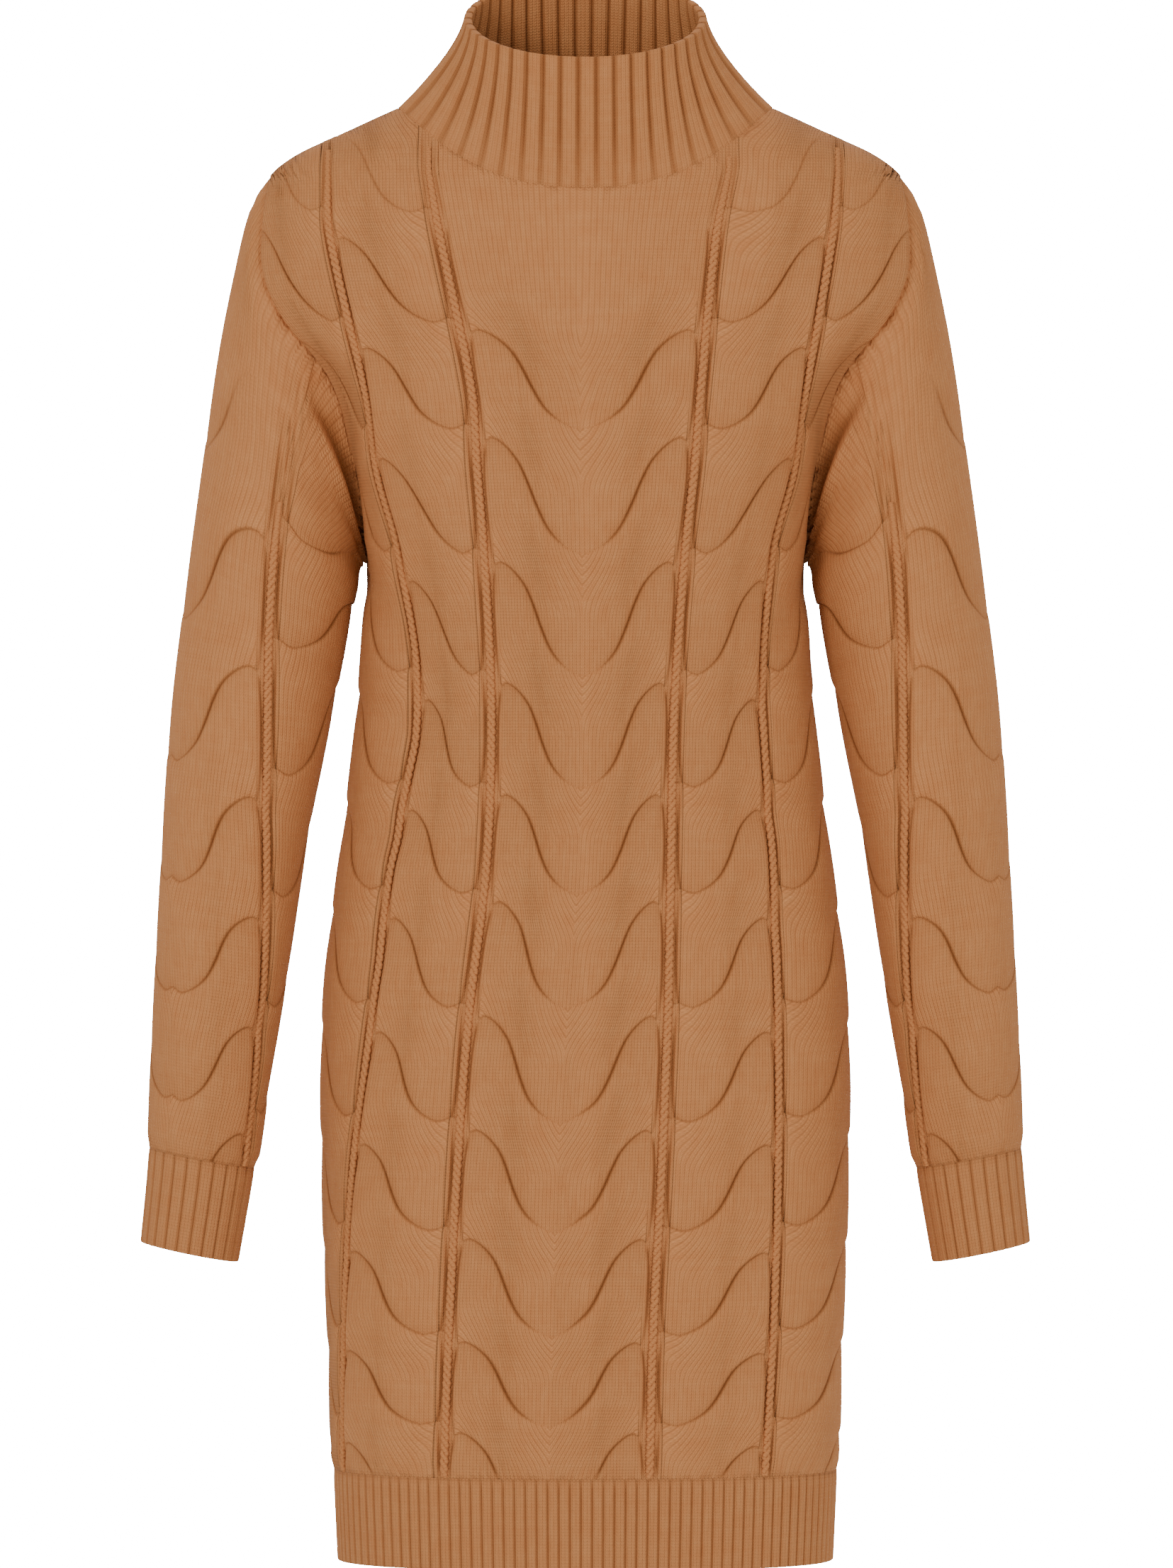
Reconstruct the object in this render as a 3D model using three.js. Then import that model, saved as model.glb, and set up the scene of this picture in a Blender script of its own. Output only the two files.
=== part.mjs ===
// A long-sleeved sweater dress in camel cable knit, filled out as it is worn, with nobody in it.
// Units are millimetres, +Z is up and the front faces -Y. The origin is in the middle of the neck,
// at the height of the shoulder points, where a wearer's shoulders carry the dress.
// Every piece is a closed wall of cloth: a plain inside and an outside raised in cables or ribs.
import * as THREE from 'three';

// Cloth
const WALL = 2.2; // thickness of the knit in the gutters beside the cables
const SEAM_GAP = 0.3; // between two pieces that are sewn together
const ARMHOLE_GAP = 0.7; // a little more, as the sleeve turns sharply there
const SURFACE_INSET = 2; // the outlines below are measured on the relief, this much above the gutters
const CAMEL = 0xb27b55;

// Heights
const SHOULDER_TIP_Z = -37;
const UNDERARM_Z = -273;
const HEM_RIB_TOP_Z = -836;
const HEM_Z = -892;

// Body sections: half width between the side seams, and the depths in front of them and behind.
// Down to the underarm the half width is the outline of shoulder and upper arm.
const BODY_SECTIONS = [
  { z: 12, half: 100, front: 38, back: 60 },
  { z: 5, half: 117, front: 40, back: 61 },
  { z: -11, half: 152, front: 54, back: 69 },
  { z: -24, half: 180, front: 64, back: 76 },
  { z: -37, half: 196.5, front: 72, back: 82 },
  { z: -60, half: 209, front: 82, back: 91 },
  { z: -95, half: 216, front: 91, back: 100 },
  { z: -120, half: 211, front: 97, back: 104 },
  { z: -140, half: 194, front: 101, back: 106 },
  { z: -160, half: 171, front: 105, back: 107 },
  { z: -185, half: 155, front: 109, back: 107 },
  { z: -215, half: 146, front: 112, back: 105 },
  { z: -250, half: 140, front: 112, back: 102 },
  { z: -273, half: 137, front: 109, back: 99 },
  { z: -320, half: 137.6, front: 102, back: 92 },
  { z: -375, half: 142, front: 95, back: 84 },
  { z: -430, half: 148, front: 92, back: 82 },
  { z: -480, half: 154.5, front: 96, back: 92 },
  { z: -530, half: 160.5, front: 102, back: 104 },
  { z: -585, half: 163, front: 106, back: 114 },
  { z: -640, half: 162.5, front: 107, back: 115 },
  { z: -700, half: 161, front: 106, back: 110 },
  { z: -770, half: 158, front: 104, back: 103 },
  { z: -836, half: 156.5, front: 103, back: 99 },
  { z: -893, half: 154, front: 102, back: 97 },
];
const SEAM_Y = 4; // the side and shoulder seams lie a little behind the middle
const SQUARENESS = 2.25; // power of the sections' rounded ovals, 2 being an ellipse

// The armhole seam on the front and on the back, seen from the front
const ARMHOLE = [
  { z: -37, x: 196.5 },
  { z: -60, x: 200 },
  { z: -95, x: 201 },
  { z: -120, x: 192 },
  { z: -140, x: 177 },
  { z: -160, x: 160.5 },
  { z: -185, x: 149.5 },
  { z: -215, x: 143.5 },
  { z: -250, x: 139.4 },
  { z: -273, x: 137 },
];

// Neckline of the body, where the collar is sewn on
const NECK_POINT_Z = 5; // where the neckline meets the shoulder seam
const NECKLINE = { frontDrop: 53, frontPower: 2.4, backRise: 7, backPower: 2 };
const NECKLINE_GAP = 0.75; // along the columns, which cross the neckline at a slant

// Cables of the body. A line is the edge where one strand passes over the next: it starts as an arch
// beside the outer rope, falls in an S and ends as a U, and the U heights repeat down the middle.
const BODY_U_HEIGHTS = [
  62, 0, -64, -132, -197, -272.5, -346.5, -415, -480, -549.5, -619, -685.5, -749, -804, -866, -930,
];
const FIRST_BODY_LINE = 3; // place in the list above of the topmost line that shows in the middle
const LINE_FADE = { above: 0.1, below: 1 }; // lines over which that one rises out of the plain chest
const MIDDLE_LINE_DROP = 63; // from the top of an arch to the foot of its U
const SIDE_LINE_DROP = 52;
const SIDE_LIFT = 8; // the lines at the side seams lie this much higher
const WAIST_Z = -400;

// Rope columns of the body: the middle of the front, then the inner and outer rope on each side
const ROPES = [
  { z: -37, middle: 0, innerLeft: -96, innerRight: 88, outerLeft: -158, outerRight: 155 },
  { z: -77, middle: -1, innerLeft: -89, innerRight: 80, outerLeft: -156, outerRight: 151 },
  { z: -173, middle: -3, innerLeft: -71, innerRight: 71, outerLeft: -134, outerRight: 134 },
  { z: -221, middle: -3, innerLeft: -68, innerRight: 67, outerLeft: -127, outerRight: 127 },
  { z: -269, middle: -2, innerLeft: -63, innerRight: 61, outerLeft: -114, outerRight: 114 },
  { z: -365, middle: -2, innerLeft: -57, innerRight: 54, outerLeft: -102, outerRight: 108 },
  { z: -461, middle: -4, innerLeft: -60, innerRight: 52, outerLeft: -118, outerRight: 114 },
  { z: -557, middle: -11, innerLeft: -71, innerRight: 50, outerLeft: -130, outerRight: 117 },
  { z: -653, middle: -17, innerLeft: -78, innerRight: 46, outerLeft: -142, outerRight: 117 },
  { z: -749, middle: -20, innerLeft: -83, innerRight: 41, outerLeft: -147, outerRight: 114 },
  { z: -836, middle: -22, innerLeft: -86, innerRight: 39, outerLeft: -148, outerRight: 109 },
];

// Relief, as heights above the gutters
const ROPE = { halfWidth: 7, height: 3 };
const CABLE = { low: 0.8, rise: 3.6, pillow: 0.9, edge: 0.35 };
const PLAIN_HEIGHT = 1.6;

// Sleeve: outer and inner outline seen from the front, and half depth by level
const SLEEVE_OUTER = [
  { z: -37, x: 196.5 },
  { z: -54, x: 207 },
  { z: -89, x: 215.3 },
  { z: -141, x: 225.7 },
  { z: -219, x: 236.5 },
  { z: -297, x: 247 },
  { z: -375, x: 256 },
  { z: -480, x: 262.6 },
  { z: -584, x: 267.8 },
  { z: -641, x: 270.2 },
  { z: -700, x: 275.5 },
];
const SLEEVE_INNER = [
  { z: -273, x: 137 },
  { z: -297, x: 142.4 },
  { z: -323, x: 147.6 },
  { z: -375, x: 157.5 },
  { z: -427, x: 168 },
  { z: -480, x: 176.6 },
  { z: -532, x: 184 },
  { z: -584, x: 192.7 },
  { z: -648, x: 202 },
  { z: -712, x: 213 },
];
const SLEEVE_LEVELS = [
  { z: -155, halfDepth: 47, middleY: 4 },
  { z: -230, halfDepth: 60, middleY: 3 },
  { z: -300, halfDepth: 60, middleY: 0 },
  { z: -380, halfDepth: 55, middleY: -3 },
  { z: -480, halfDepth: 49, middleY: -7 },
  { z: -560, halfDepth: 44, middleY: -11 },
  { z: -643, halfDepth: 39, middleY: -15 },
  { z: -705, halfDepth: 37, middleY: -18 },
];
const ARMHOLE_LEVEL = (SHOULDER_TIP_Z + UNDERARM_Z) / 2;
const ARMHOLE_TILT = (SHOULDER_TIP_Z - UNDERARM_Z) / 2; // half the height from shoulder tip to underarm
const STRAIGHT_LEVEL = -380; // below this the rings lie square to the arm
const STRAIGHT_TILT = 6;
const CAP_END_LEVEL = -260; // the armhole's own bend has faded out here
const UNDERARM_FREE = 40; // levels over which the sleeve frees itself from the body under the arm
const UNDERARM_ROOM = 1;
const CUFF_LEVEL = -643;
const CUFF_END_LEVEL = -701;
const SLEEVE_TWIST = { from: -230, to: -640, turn: 55 }; // degrees that the columns turn to the front
const SLEEVE_ROPE_ANGLE = 90;
const SLEEVE_ROPE_HALF_ANGLE = 8;
const SLEEVE_U_HEIGHTS = [-30, -102, -175, -249, -323.5, -403.4, -477, -544, -609.5, -673, -737];
const SLEEVE_LINE_DROP = 54;
const SEAM_FADE = 70; // levels over which the cloth rises from the armhole seam
const SLEEVE_PLAIN = { above: -185, below: -245 }; // the cables rise out of the plain cap between these

// Collar: the top rim is a tilted ring, and the base follows the neckline
const COLLAR = { rimHalfWidth: 73, rimHalfDepth: 61, rimY: -6, rimZ: 61, rimTilt: 29, flare: 1.5 };
const COLLAR_RIBS = 42;
const COLLAR_ROWS = 4;
const COLLAR_SPREAD = 0.72; // how close the ribs are at the centre of the base, against an even share
const COLLAR_RIB_HEIGHT = 2.2;

const HEM_RIBS = 61; // on each of the front and back hems
const CUFF_RIBS = 24;
const RIB_HEIGHT = 1.7;
const RIB_PROFILE = [
  { at: 0, high: 0 },
  { at: 0.22, high: 0 },
  { at: 0.36, high: 1 },
  { at: 0.86, high: 1 },
];

// Grids: columns run down the cloth and rows run across it, along the cable lines
const CABLE_STEPS = 4; // across each cable, or half of the wide middle one
const ROPE_STEPS = [0, 0.14, 0.5, 0.86, 1];
const LINE_STEPS = [0.04, 0.5, 0.96]; // rows between one cable line and the next
const SHOULDER_ROWS = [2.2, 2.6, 2.96]; // lines of the rows above the first cable line
const BODY_ROW_LINES = { from: 3, to: 14 };
const SLEEVE_ROW_LINES = { from: 3, to: 9 };
const ARMHOLE_ROWS = 12;
const SLEEVE_CAP_DROPS = [0, 8, 20, 34, 50];
const ROW_SPACE = { underTop: 1.2, growth: 0.5, overHem: 4, sleeve: 5, overCuff: 3 }; // where rows crowd
const NECK_PART = 0.75; // this far from an outer to an inner rope, a column ends at the neck point
const NECK_HOLD_Z = -150; // above this that column bends towards the neck point
const NORMAL_STEP = { angle: 0.01, height: 0.5 }; // for the slope of a surface
const CHEST_DROP = 40; // outward is away from a point this far below

const degrees = Math.PI / 180;

// A smooth value between the rows of a table whose z falls from row to row.
function smoothAt(rows, column, z) {
  const last = rows.length - 1;
  let i = 0;
  while (i < last - 1 && z < rows[i + 1].z) i += 1;
  const before = rows[Math.max(i - 1, 0)];
  const here = rows[i];
  const next = rows[i + 1];
  const after = rows[Math.min(i + 2, last)];
  const span = next.z - here.z;
  const t = THREE.MathUtils.clamp((z - here.z) / span, 0, 1);
  const slopeHere = (next[column] - before[column]) / (next.z - before.z);
  const slopeNext = (after[column] - here[column]) / (after.z - here.z);
  const t2 = t * t;
  const t3 = t2 * t;
  return (
    here[column] * (2 * t3 - 3 * t2 + 1) +
    slopeHere * span * (t3 - 2 * t2 + t) +
    next[column] * (3 * t2 - 2 * t3) +
    slopeNext * span * (t3 - t2)
  );
}

const smoothStep = (value, from, to) => THREE.MathUtils.smoothstep(value, from, to);
const mix = THREE.MathUtils.lerp;

// Cable lines: the height of line number k, and the number of the line at a height.
const lineHeight = (heights, k) => {
  const i = THREE.MathUtils.clamp(Math.floor(k), 0, heights.length - 2);
  return mix(heights[i], heights[i + 1], k - i);
};
const lineNumber = (heights, z) => {
  let i = 0;
  while (i < heights.length - 2 && z < heights[i + 1]) i += 1;
  return i + (z - heights[i]) / (heights[i + 1] - heights[i]);
};

// How far a line has fallen across its cable, from 0 at the arch side to 1 at the U side.
const lineFall = (across) => smoothStep(across, 0.1, 0.95);

// Height of a cable above the gutters. The strand in front of the arch dives under at the U.
function cableHeight(across, between) {
  const over = (1 - across) * between + across * (1 - between);
  const pillow = 4 * between * (1 - between);
  return CABLE.low + CABLE.rise * over + CABLE.pillow * pillow;
}

// The columns across one cable or rope. Each has its place in the cable, which side the lines fall to
// and whether it is at an edge beside a rope.
function cableColumns(from, to, steps, outerFirst, edges) {
  const columns = [];
  for (let i = 0; i < steps; i += 1) {
    const part = i / steps;
    columns.push({ from, to, part, across: outerFirst ? part : 1 - part, edge: edges.includes(part) });
  }
  return columns;
}

function ropeColumns(rope, acrossBefore, acrossAfter) {
  return ROPE_STEPS.slice(0, -1).map((part) => ({
    rope,
    part,
    across: mix(acrossBefore, acrossAfter, part),
    height: part === 0 ? undefined : part === 0.5 ? ROPE.height : 0,
    edge: part === 0,
  }));
}

// The body panels

const halfWidthAt = (z) => smoothAt(BODY_SECTIONS, 'half', z) - SURFACE_INSET;
const depthAt = (face, z) => smoothAt(BODY_SECTIONS, face, z) - SURFACE_INSET;
const ovalPower = 2 / SQUARENESS;
const signedPower = (value) => Math.sign(value) * Math.abs(value) ** ovalPower;

// A point on the base of the front or back, by its angle round the section from the middle.
function bodySurface(face, angle, z) {
  const side = face === 'front' ? -1 : 1;
  return new THREE.Vector3(
    halfWidthAt(z) * signedPower(Math.sin(angle)),
    SEAM_Y + side * (depthAt(face, z) * signedPower(Math.cos(angle)) + SEAM_GAP / 2),
    z,
  );
}

const angleAt = (x, z) => {
  const part = Math.min(Math.abs(x) / halfWidthAt(z), 1);
  return Math.sign(x) * Math.asin(part ** (1 / ovalPower));
};

function outwardNormal(surface, u, v, middle) {
  const alongU = surface(u + NORMAL_STEP.angle, v).sub(surface(u - NORMAL_STEP.angle, v));
  const alongV = surface(u, v + NORMAL_STEP.height).sub(surface(u, v - NORMAL_STEP.height));
  const normal = alongU.cross(alongV).normalize();
  const away = surface(u, v).sub(middle);
  return normal.dot(away) < 0 ? normal.negate() : normal;
}

const bodyNormal = (face, angle, z) => outwardNormal(
  (u, v) => bodySurface(face, u, v), angle, z, new THREE.Vector3(0, SEAM_Y, z - CHEST_DROP),
);

// The height of the shoulder seam at a distance from the middle
function shoulderSeamZ(x) {
  let high = NECK_POINT_Z;
  let low = SHOULDER_TIP_Z;
  for (let halving = 0; halving < 30; halving += 1) {
    const z = (high + low) / 2;
    if (halfWidthAt(z) < x) high = z;
    else low = z;
  }
  return (high + low) / 2;
}

const NECK_HALF_WIDTH = halfWidthAt(NECK_POINT_Z);

function topEdgeZ(face, x) {
  const part = Math.abs(x) / NECK_HALF_WIDTH;
  if (part > 1) return shoulderSeamZ(Math.abs(x));
  if (face === 'front') return NECK_POINT_Z - NECKLINE.frontDrop * (1 - part ** NECKLINE.frontPower);
  return NECK_POINT_Z + NECKLINE.backRise * (1 - part ** NECKLINE.backPower);
}

// The angle of a panel's side edge: the armhole down to the underarm, then the side seam.
function edgeAngle(z) {
  if (z <= UNDERARM_Z) return Math.PI / 2;
  const level = Math.min(z, SHOULDER_TIP_Z);
  return angleAt(smoothAt(ARMHOLE, 'x', level) - SURFACE_INSET, level);
}

// Columns of a body panel from its left edge to its right edge.
const bodyColumns = [
  ...cableColumns('leftEdge', 'outerLeft', CABLE_STEPS, true, [0]),
  ...ropeColumns('outerLeft', 1, 0),
  ...cableColumns('outerLeft', 'innerLeft', CABLE_STEPS, true, []),
  ...ropeColumns('innerLeft', 1, 0),
  ...cableColumns('innerLeft', 'middle', CABLE_STEPS, true, []),
  ...cableColumns('middle', 'innerRight', CABLE_STEPS, false, []),
  ...ropeColumns('innerRight', 0, 1),
  ...cableColumns('innerRight', 'outerRight', CABLE_STEPS, false, []),
  ...ropeColumns('outerRight', 0, 1),
  ...cableColumns('outerRight', 'rightEdge', CABLE_STEPS, false, []),
  { from: 'outerRight', to: 'rightEdge', part: 1, across: 0, edge: true },
];

const touchesMiddle = (column) => column.from === 'middle' || column.to === 'middle';

// The angles of the ropes and edges at one height.
function bodyBreaks(z) {
  const level = Math.min(z, SHOULDER_TIP_Z);
  const breaks = { leftEdge: -edgeAngle(level), rightEdge: edgeAngle(level) };
  for (const name of ['middle', 'innerLeft', 'innerRight', 'outerLeft', 'outerRight']) {
    breaks[name] = angleAt(smoothAt(ROPES, name, level), level);
  }
  breaks.neck = angleAt(NECK_HALF_WIDTH, level);
  breaks.neckHold = smoothStep(level, NECK_HOLD_Z, SHOULDER_TIP_Z);
  return breaks;
}

// The angle of a column at a height. Above the shoulder tip the columns keep their distance from the
// middle, so that each one meets the shoulder seam or the neckline.
function columnAngle(column, z) {
  const breaks = bodyBreaks(z);
  const ropeAngle = ROPE.halfWidth / halfWidthAt(Math.min(z, SHOULDER_TIP_Z));
  let angle;
  if (column.rope) {
    angle = breaks[column.rope] + ropeAngle * (2 * column.part - 1);
  } else {
    const isRope = (name) => name.startsWith('inner') || name.startsWith('outer');
    const start = breaks[column.from] + (isRope(column.from) ? ropeAngle : 0);
    const end = breaks[column.to] - (isRope(column.to) ? ropeAngle : 0);
    const inShoulder = isRope(column.from) && isRope(column.to);
    if (inShoulder) {
      const mirrored = column.from.startsWith('inner');
      const neckPart = mirrored ? 1 - NECK_PART : NECK_PART;
      const even = mix(start, end, neckPart);
      const held = mix(even, mirrored ? breaks.neck : -breaks.neck, breaks.neckHold);
      angle = column.part < neckPart
        ? mix(start, held, column.part / neckPart)
        : mix(held, end, (column.part - neckPart) / (1 - neckPart));
    } else {
      angle = mix(start, end, column.part);
    }
  }
  if (z <= SHOULDER_TIP_Z) return angle;
  const x = halfWidthAt(SHOULDER_TIP_Z) * signedPower(Math.sin(angle));
  return angleAt(x, z);
}

// Where a column meets the top edge, and its distance from the middle there.
function columnTop(face, column) {
  const tipAngle = columnAngle(column, SHOULDER_TIP_Z);
  const x = halfWidthAt(SHOULDER_TIP_Z) * signedPower(Math.sin(tipAngle));
  return topEdgeZ(face, x);
}

// How much higher a column's lines lie than the U's in the middle.
function lineRise(column) {
  const drop = touchesMiddle(column) ? MIDDLE_LINE_DROP : SIDE_LINE_DROP;
  const lift = SIDE_LIFT * (columnAngle(column, WAIST_Z) / (Math.PI / 2)) ** 2;
  return drop * (1 - lineFall(column.across)) + lift;
}

function rowLines({ from, to }) {
  const lines = [];
  for (let k = from; k < to; k += 1) {
    for (const step of LINE_STEPS) lines.push(k + step);
  }
  return lines;
}

const bodyRows = [...SHOULDER_ROWS, ...rowLines(BODY_ROW_LINES)];

// The heights of one column's rows. Rows that would lie past the top or the hem rib bunch up at it.
function columnHeights(face, column) {
  const top = columnTop(face, column);
  const rise = lineRise(column);
  const heights = bodyRows.map((k, i) => {
    const row = i + 1;
    const ceiling = top - ROW_SPACE.underTop * row - ROW_SPACE.growth * row * row;
    const floor = HEM_RIB_TOP_Z + ROW_SPACE.overHem * (bodyRows.length - i);
    return Math.max(Math.min(lineHeight(BODY_U_HEIGHTS, k) + rise, ceiling), floor);
  });
  return [top, ...heights, HEM_RIB_TOP_Z];
}

// The rows of the side edges meet the sleeve's own columns on the armhole, then share out the side.
function edgeHeights() {
  const heights = sleeveFrontAngles().map(
    (angle) => ARMHOLE_LEVEL + ARMHOLE_TILT * Math.cos(angle * degrees),
  );
  const below = bodyRows.length + 1 - ARMHOLE_ROWS;
  for (let i = 1; i <= below; i += 1) heights.push(mix(UNDERARM_Z, HEM_RIB_TOP_Z, i / below));
  return heights;
}

// Relief of a body column at a height: plain above the first line in the middle of the chest.
function bodyRelief(column, z) {
  if (column.height !== undefined) return column.height;
  const line = lineNumber(BODY_U_HEIGHTS, z - lineRise(column));
  const cabled = touchesMiddle(column)
    ? smoothStep(line, FIRST_BODY_LINE - LINE_FADE.above, FIRST_BODY_LINE + LINE_FADE.below)
    : 1;
  const height = mix(PLAIN_HEIGHT, cableHeight(column.across, line - Math.floor(line)), cabled);
  return column.edge ? height * CABLE.edge : height;
}

function bodyPanel(face) {
  const sideHeights = edgeHeights();
  const lastColumn = bodyColumns.length - 1;
  const nodes = bodyColumns.map((column, c) => {
    const atSide = c === 0 || c === lastColumn;
    const heights = atSide ? sideHeights : columnHeights(face, column);
    return heights.map((z, row) => {
      const angle = atSide ? Math.sign(c - 1) * edgeAngle(z) : columnAngle(column, z);
      const atTop = row === 0;
      return {
        base: bodySurface(face, angle, z),
        normal: bodyNormal(face, angle, z),
        height: atSide ? 0 : bodyRelief(column, z) * (atTop ? CABLE.edge : 1),
      };
    });
  });
  return nodes[0].map((_, row) => nodes.map((column) => column[row]));
}

// The sleeves, made for the right-hand side of the picture and mirrored for the other

const ringTilt = (level) => {
  const part = THREE.MathUtils.clamp((ARMHOLE_LEVEL - level) / (ARMHOLE_LEVEL - STRAIGHT_LEVEL), 0, 1);
  return STRAIGHT_TILT + (ARMHOLE_TILT - STRAIGHT_TILT) * (1 - part) ** 2;
};

function sleeveRing(level) {
  const tilt = ringTilt(level);
  const outerZ = level + tilt;
  const innerZ = level - tilt;
  const outerX = smoothAt(SLEEVE_OUTER, 'x', outerZ) - SURFACE_INSET;
  const free = THREE.MathUtils.clamp((ARMHOLE_LEVEL - level) / UNDERARM_FREE, 0, 1);
  const clear = mix(-SURFACE_INSET, SURFACE_INSET + UNDERARM_ROOM, free);
  const innerX = smoothAt(SLEEVE_INNER, 'x', innerZ) + clear;
  return {
    middle: new THREE.Vector3((outerX + innerX) / 2, smoothAt(SLEEVE_LEVELS, 'middleY', level), level),
    across: new THREE.Vector3((outerX - innerX) / 2, 0, (outerZ - innerZ) / 2),
    depth: smoothAt(SLEEVE_LEVELS, 'halfDepth', level) - SURFACE_INSET,
  };
}

function ringPoint(ring, angle) {
  return new THREE.Vector3(0, -ring.depth * Math.sin(angle), 0)
    .addScaledVector(ring.across, Math.cos(angle))
    .add(ring.middle);
}

// The armhole seam itself, by the same angle: 0 at the shoulder tip, 180 degrees at the underarm.
function armholePoint(angle) {
  const z = ARMHOLE_LEVEL + ARMHOLE_TILT * Math.cos(angle);
  return bodySurface(Math.sin(angle) < 0 ? 'back' : 'front', edgeAngle(z), z);
}

function sleeveSurface(angle, level) {
  const point = ringPoint(sleeveRing(level), angle);
  const leave = THREE.MathUtils.clamp((ARMHOLE_LEVEL - level) / (ARMHOLE_LEVEL - CAP_END_LEVEL), 0, 1);
  const hold = (1 - leave) ** 2;
  if (hold === 0) return point;
  const bend = armholePoint(angle).sub(ringPoint(sleeveRing(ARMHOLE_LEVEL), angle));
  return point.addScaledVector(bend, hold);
}

const sleeveNormal = (angle, level) => outwardNormal(
  (u, v) => sleeveSurface(u, v), angle, level, sleeveRing(level).middle,
);

const ropeEdge = SLEEVE_ROPE_ANGLE - SLEEVE_ROPE_HALF_ANGLE;

// Columns on the front half of a sleeve, by their angle before the twist.
function sleeveFrontColumns() {
  const columns = [];
  for (let i = 0; i < CABLE_STEPS; i += 1) {
    const part = i / CABLE_STEPS;
    columns.push({ angle: ropeEdge * part, across: 1 - part });
  }
  for (const part of ROPE_STEPS.slice(0, -1)) {
    columns.push({
      angle: ropeEdge + 2 * SLEEVE_ROPE_HALF_ANGLE * part,
      across: part,
      height: part === 0 ? undefined : part === 0.5 ? ROPE.height : 0,
      edge: part === 0,
    });
  }
  for (let i = 0; i <= CABLE_STEPS; i += 1) {
    const part = i / CABLE_STEPS;
    columns.push({
      angle: mix(180 - ropeEdge, 180, part),
      across: 1 - part,
      edge: i === 0 || i === CABLE_STEPS,
    });
  }
  return columns;
}

function sleeveFrontAngles() {
  return sleeveFrontColumns().map((column) => column.angle);
}

// All columns round a sleeve: the front half, then the back half as its mirror image.
const sleeveColumns = (() => {
  const front = sleeveFrontColumns();
  const back = front.slice(1, -1).reverse().map((column) => ({ ...column, angle: 360 - column.angle }));
  return [...front, ...back];
})();

const sleeveRows = rowLines(SLEEVE_ROW_LINES).slice(0, -1); // the cuff takes the last one's place

function sleeveLevels(column) {
  const levels = SLEEVE_CAP_DROPS.map((drop) => ARMHOLE_LEVEL - drop);
  const fall = SLEEVE_LINE_DROP * (1 - lineFall(column.across));
  sleeveRows.forEach((k, i) => {
    const ceiling = levels[levels.length - 1] - ROW_SPACE.sleeve;
    const floor = CUFF_LEVEL + ROW_SPACE.overCuff * (sleeveRows.length - i);
    levels.push(Math.max(Math.min(lineHeight(SLEEVE_U_HEIGHTS, k) + fall, ceiling), floor));
  });
  levels.push(CUFF_LEVEL);
  return levels;
}

function sleeveRelief(column, level) {
  const fromSeam = smoothStep(ARMHOLE_LEVEL - level, 0, SEAM_FADE);
  return fromSeam * freeRelief(column, level);
}

function freeRelief(column, level) {
  const shown = 1 - smoothStep(level, SLEEVE_PLAIN.below, SLEEVE_PLAIN.above);
  if (column.height !== undefined) return mix(PLAIN_HEIGHT, column.height, shown);
  const fall = SLEEVE_LINE_DROP * (1 - lineFall(column.across));
  const line = lineNumber(SLEEVE_U_HEIGHTS, level - fall);
  const height = mix(PLAIN_HEIGHT, cableHeight(column.across, line - Math.floor(line)), shown);
  return column.edge ? mix(PLAIN_HEIGHT, height * CABLE.edge, shown) : height;
}

const twistAt = (level) => SLEEVE_TWIST.turn * smoothStep(-level, -SLEEVE_TWIST.from, -SLEEVE_TWIST.to);

// On the armhole the sleeve takes the body's own edge points, moved out by the seam gap. Its wall leans
// off the seam where it can, and nowhere leans back over the body.
function armholeNode(angle, body) {
  const own = sleeveNormal(angle, ARMHOLE_LEVEL - NORMAL_STEP.height);
  const overBody = Math.max(own.clone().sub(body.normal).dot(body.away), 0);
  return {
    base: body.base.clone()
      .addScaledVector(body.normal, SEAM_GAP)
      .addScaledVector(body.away, ARMHOLE_GAP),
    normal: own.addScaledVector(body.away, -overBody).normalize(),
    height: 0,
  };
}

function sleeveNodes(front, back) {
  const last = front[0].length - 1;
  const columns = sleeveColumns.map((column, c) => {
    const onFront = c <= ARMHOLE_ROWS;
    const panel = onFront ? front : back;
    const row = onFront ? c : 2 * ARMHOLE_ROWS - c;
    const { base, normal } = panel[row][last];
    const along = panel[Math.max(row - 1, 0)][last].base.clone().sub(panel[row + 1][last].base);
    const away = along.cross(normal).normalize().multiplyScalar(onFront ? 1 : -1);
    const body = { base: base.clone(), normal, away };
    if (row === 0 || row === ARMHOLE_ROWS) body.base.setY(SEAM_Y);
    if (row === 0) body.away.set(1, 0, 0);
    if (row === ARMHOLE_ROWS) body.away.set(0, 0, 0);
    return sleeveLevels(column).map((level, index) => {
      if (index === 0) return armholeNode(column.angle * degrees, body);
      const angle = (column.angle + twistAt(level)) * degrees;
      return {
        base: sleeveSurface(angle, level),
        normal: sleeveNormal(angle, level),
        height: sleeveRelief(column, level),
      };
    });
  });
  return columns[0].map((_, row) => columns.map((column) => column[row]));
}

// Ribbed pieces

function ribColumns(count) {
  const columns = [];
  for (let rib = 0; rib < count; rib += 1) {
    for (const { at, high } of RIB_PROFILE) columns.push({ part: (rib + at) / count, high });
  }
  return columns;
}

function cuffNodes() {
  const start = CUFF_LEVEL - 2 * SEAM_GAP;
  return [start, (start + CUFF_END_LEVEL) / 2, CUFF_END_LEVEL].map((level) => (
    ribColumns(CUFF_RIBS).map(({ part, high }) => {
      const angle = part * 2 * Math.PI;
      return {
        base: sleeveSurface(angle, level),
        normal: sleeveNormal(angle, level),
        height: high * RIB_HEIGHT,
      };
    })
  ));
}

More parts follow.
